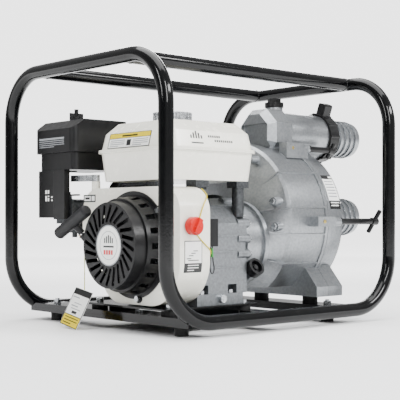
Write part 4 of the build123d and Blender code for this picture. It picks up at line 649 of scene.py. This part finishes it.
# ---------- small metalwork ----------
def weld_bead(bm, centre, axis, radius_mm, bead_mm):
    """A rippled ring of weld round a tube."""
    turn = Vector(axis).to_track_quat("Z", "Y").to_matrix()
    around, across = 72, 8
    rings = []
    for i in range(around):
        angle = math.tau * i / around
        lump = bead_mm * (0.82 + 0.18 * math.sin(angle * 18)) * rng.uniform(0.92, 1.08)
        ring = []
        for j in range(across):
            tilt = math.tau * j / across
            out = radius_mm + lump * math.cos(tilt)
            local = Vector((out * math.cos(angle), out * math.sin(angle), lump * math.sin(tilt))) * MM
            ring.append(bm.verts.new(turn @ local + Vector(centre)))
        rings.append(ring)
    for i in range(around):
        here, there = rings[i], rings[(i + 1) % around]
        for j in range(across):
            k = (j + 1) % across
            bm.faces.new((here[j], there[j], there[k], here[k]))


RAIL_END_IN = 0.0125        # a weld's distance from the top rail's cut end
BOTTOM_RAIL_Z = 0.024


def welds():
    """Weld beads at the top rails' ends and at the foot of the engine-end hoop."""
    bm = bmesh.new()
    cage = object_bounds()
    low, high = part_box("top_rails")
    hoop_low, hoop_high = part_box("frame_hoop_engine_end")
    tube = (high[2] - low[2]) / 2
    for x in (low[0] + RAIL_END_IN, high[0] - RAIL_END_IN):
        for y in (low[1] + tube, high[1] - tube):
            weld_bead(bm, (x, y, middle("top_rails").z), (1, 0, 0), 12.2, 1.7)
    for y in (hoop_low[1] + tube, hoop_high[1] - tube):
        weld_bead(bm, (hoop_high[0], y, BOTTOM_RAIL_Z), (1, 0, 0), 12.0, 1.2)
    # The beads are ground flush where they reach the cage's outer faces.
    for vertex in bm.verts:
        vertex.co = [min(max(value, low), high) for value, low, high in zip(vertex.co, *cage)]
    keep(mesh_piece("frame_welds", bm, smooth=True), "frame", "frame_black", "coat")


def flange_bolt(bm, seat, axis, across_mm, height_mm):
    """Hex head on a round flange, with a dished top."""
    turn = Vector(axis).to_track_quat("Z", "Y").to_matrix()
    corner, flat = across_mm * 0.577, across_mm * 0.5
    profile = [(24, across_mm * 0.78, 0.0), (24, across_mm * 0.78, 0.9), (24, across_mm * 0.62, 1.5),
               (6, corner, 1.5), (6, corner, height_mm - 0.6), (6, flat, height_mm),
               (6, across_mm * 0.34, height_mm), (6, across_mm * 0.3, height_mm - 0.7)]
    loops = []
    for sides, radius, level in profile:
        angles = [math.tau * i / sides for i in range(sides)]
        spots = [Vector((radius * math.cos(angle), radius * math.sin(angle), level)) for angle in angles]
        loops.append([bm.verts.new(turn @ (spot * MM) + Vector(seat)) for spot in spots])
    for first, second in zip(loops, loops[1:]):
        if len(first) == len(second):
            for i in range(len(first)):
                j = (i + 1) % len(first)
                bm.faces.new((first[i], first[j], second[j], second[i]))
        else:
            for i in range(6):
                near = [first[(4 * i + k) % 24] for k in range(5)]
                bm.faces.new((*near, second[(i + 1) % 6], second[i]))
    bm.faces.new(reversed(loops[0]))
    bm.faces.new(loops[-1])


EAR_DEPTH = 0.030
EAR_PLACES = [(-0.159, 0.134), (-0.159, 0.162), (-0.157, 0.190),
              (-0.119, 0.228), (0.003, 0.196), (-0.003, 0.110)]


def case_bolts():
    """Flanges under the bolts of the crankcase cover's ears."""
    bm = bmesh.new()
    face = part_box("crankcase_cover")[0][0] + EAR_DEPTH
    for y, z in EAR_PLACES:
        flange_bolt(bm, (face, y, z), (1, 0, 0), 9.0, 5.5)
    keep(mesh_piece("case_bolts", bm), "frame", "zinc", "zinc")


def bowl_drain():
    """The brass drain under the carburetor's bowl."""
    bm = bmesh.new()
    low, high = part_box("carburetor")
    seat = Vector(((low[0] + high[0]) / 2 - 0.004, 0.112, low[2] + 0.004))
    flange_bolt(bm, seat, (0, 0, -1), 10.0, 6.0)
    keep(mesh_piece("bowl_drain", bm), "frame", "zinc", "brass")


# ---------- the switch's leads ----------
LEAD_RADIUS_MM = 1.1
CONNECTOR_RADIUS_MM = 2.4


def switch_leads():
    """The stop switch's yellow leads, the oil alert's black loop and two connectors."""
    knob = middle("stop_switch_knob")
    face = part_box("blower_shroud")[0][1] - 0.0016
    low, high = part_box("oil_alert_box")
    under, across, deep = low[2], (low[0] + high[0]) / 2, (low[1] + high[1]) / 2
    upper_run = [(knob.x + 0.050, face + 0.030, 0.2500), (knob.x + 0.0475, face + 0.010, 0.240),
                 (knob.x + 0.030, face, 0.226), (knob.x + 0.0215, face, 0.208),
                 (knob.x + 0.0150, face, knob.z + 0.002)]
    lower_run = [(knob.x + 0.010, face, knob.z - 0.0125), (knob.x + 0.026, face, knob.z - 0.028),
                 (knob.x + 0.046, face - 0.001, knob.z - 0.043),
                 (across - 0.006, deep - 0.004, under - 0.020),
                 (across - 0.005, deep, under - 0.010), (across - 0.005, deep, under)]
    loop_run = [(across + 0.004, deep - 0.002, under), (across + 0.004, deep - 0.003, under - 0.024),
                (across + 0.008, deep - 0.004, under - 0.040), (across + 0.001, deep - 0.005, under - 0.050),
                (across - 0.005, deep - 0.005, under - 0.040), (across - 0.001, deep - 0.003, under - 0.022),
                (across, deep - 0.002, under)]
    for name, run, finish in (("switch_lead_upper", upper_run, "yellow_wire"),
                              ("switch_lead_lower", lower_run, "yellow_wire"),
                              ("alert_lead_loop", loop_run, "black_wire")):
        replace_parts(lead(name, run, LEAD_RADIUS_MM, "wire", finish), "engine_wires")
    for name, x, finish in (("green_connector", across + 0.003, "green_wire"),
                            ("yellow_connector", across - 0.0055, "yellow_wire")):
        run = [(x, deep - 0.002, under - 0.003), (x, deep - 0.002, under - 0.010),
               (x, deep - 0.003, under - 0.019)]
        lead(name, run, CONNECTOR_RADIUS_MM, "wire", finish)


starter_rope()
starter_badge()
tank_end_label()
tank_side_marks()
cleaner_labels()
shroud_labels()
cover_label()
tag_print()
welds()
case_bolts()
bowl_drain()
switch_leads()
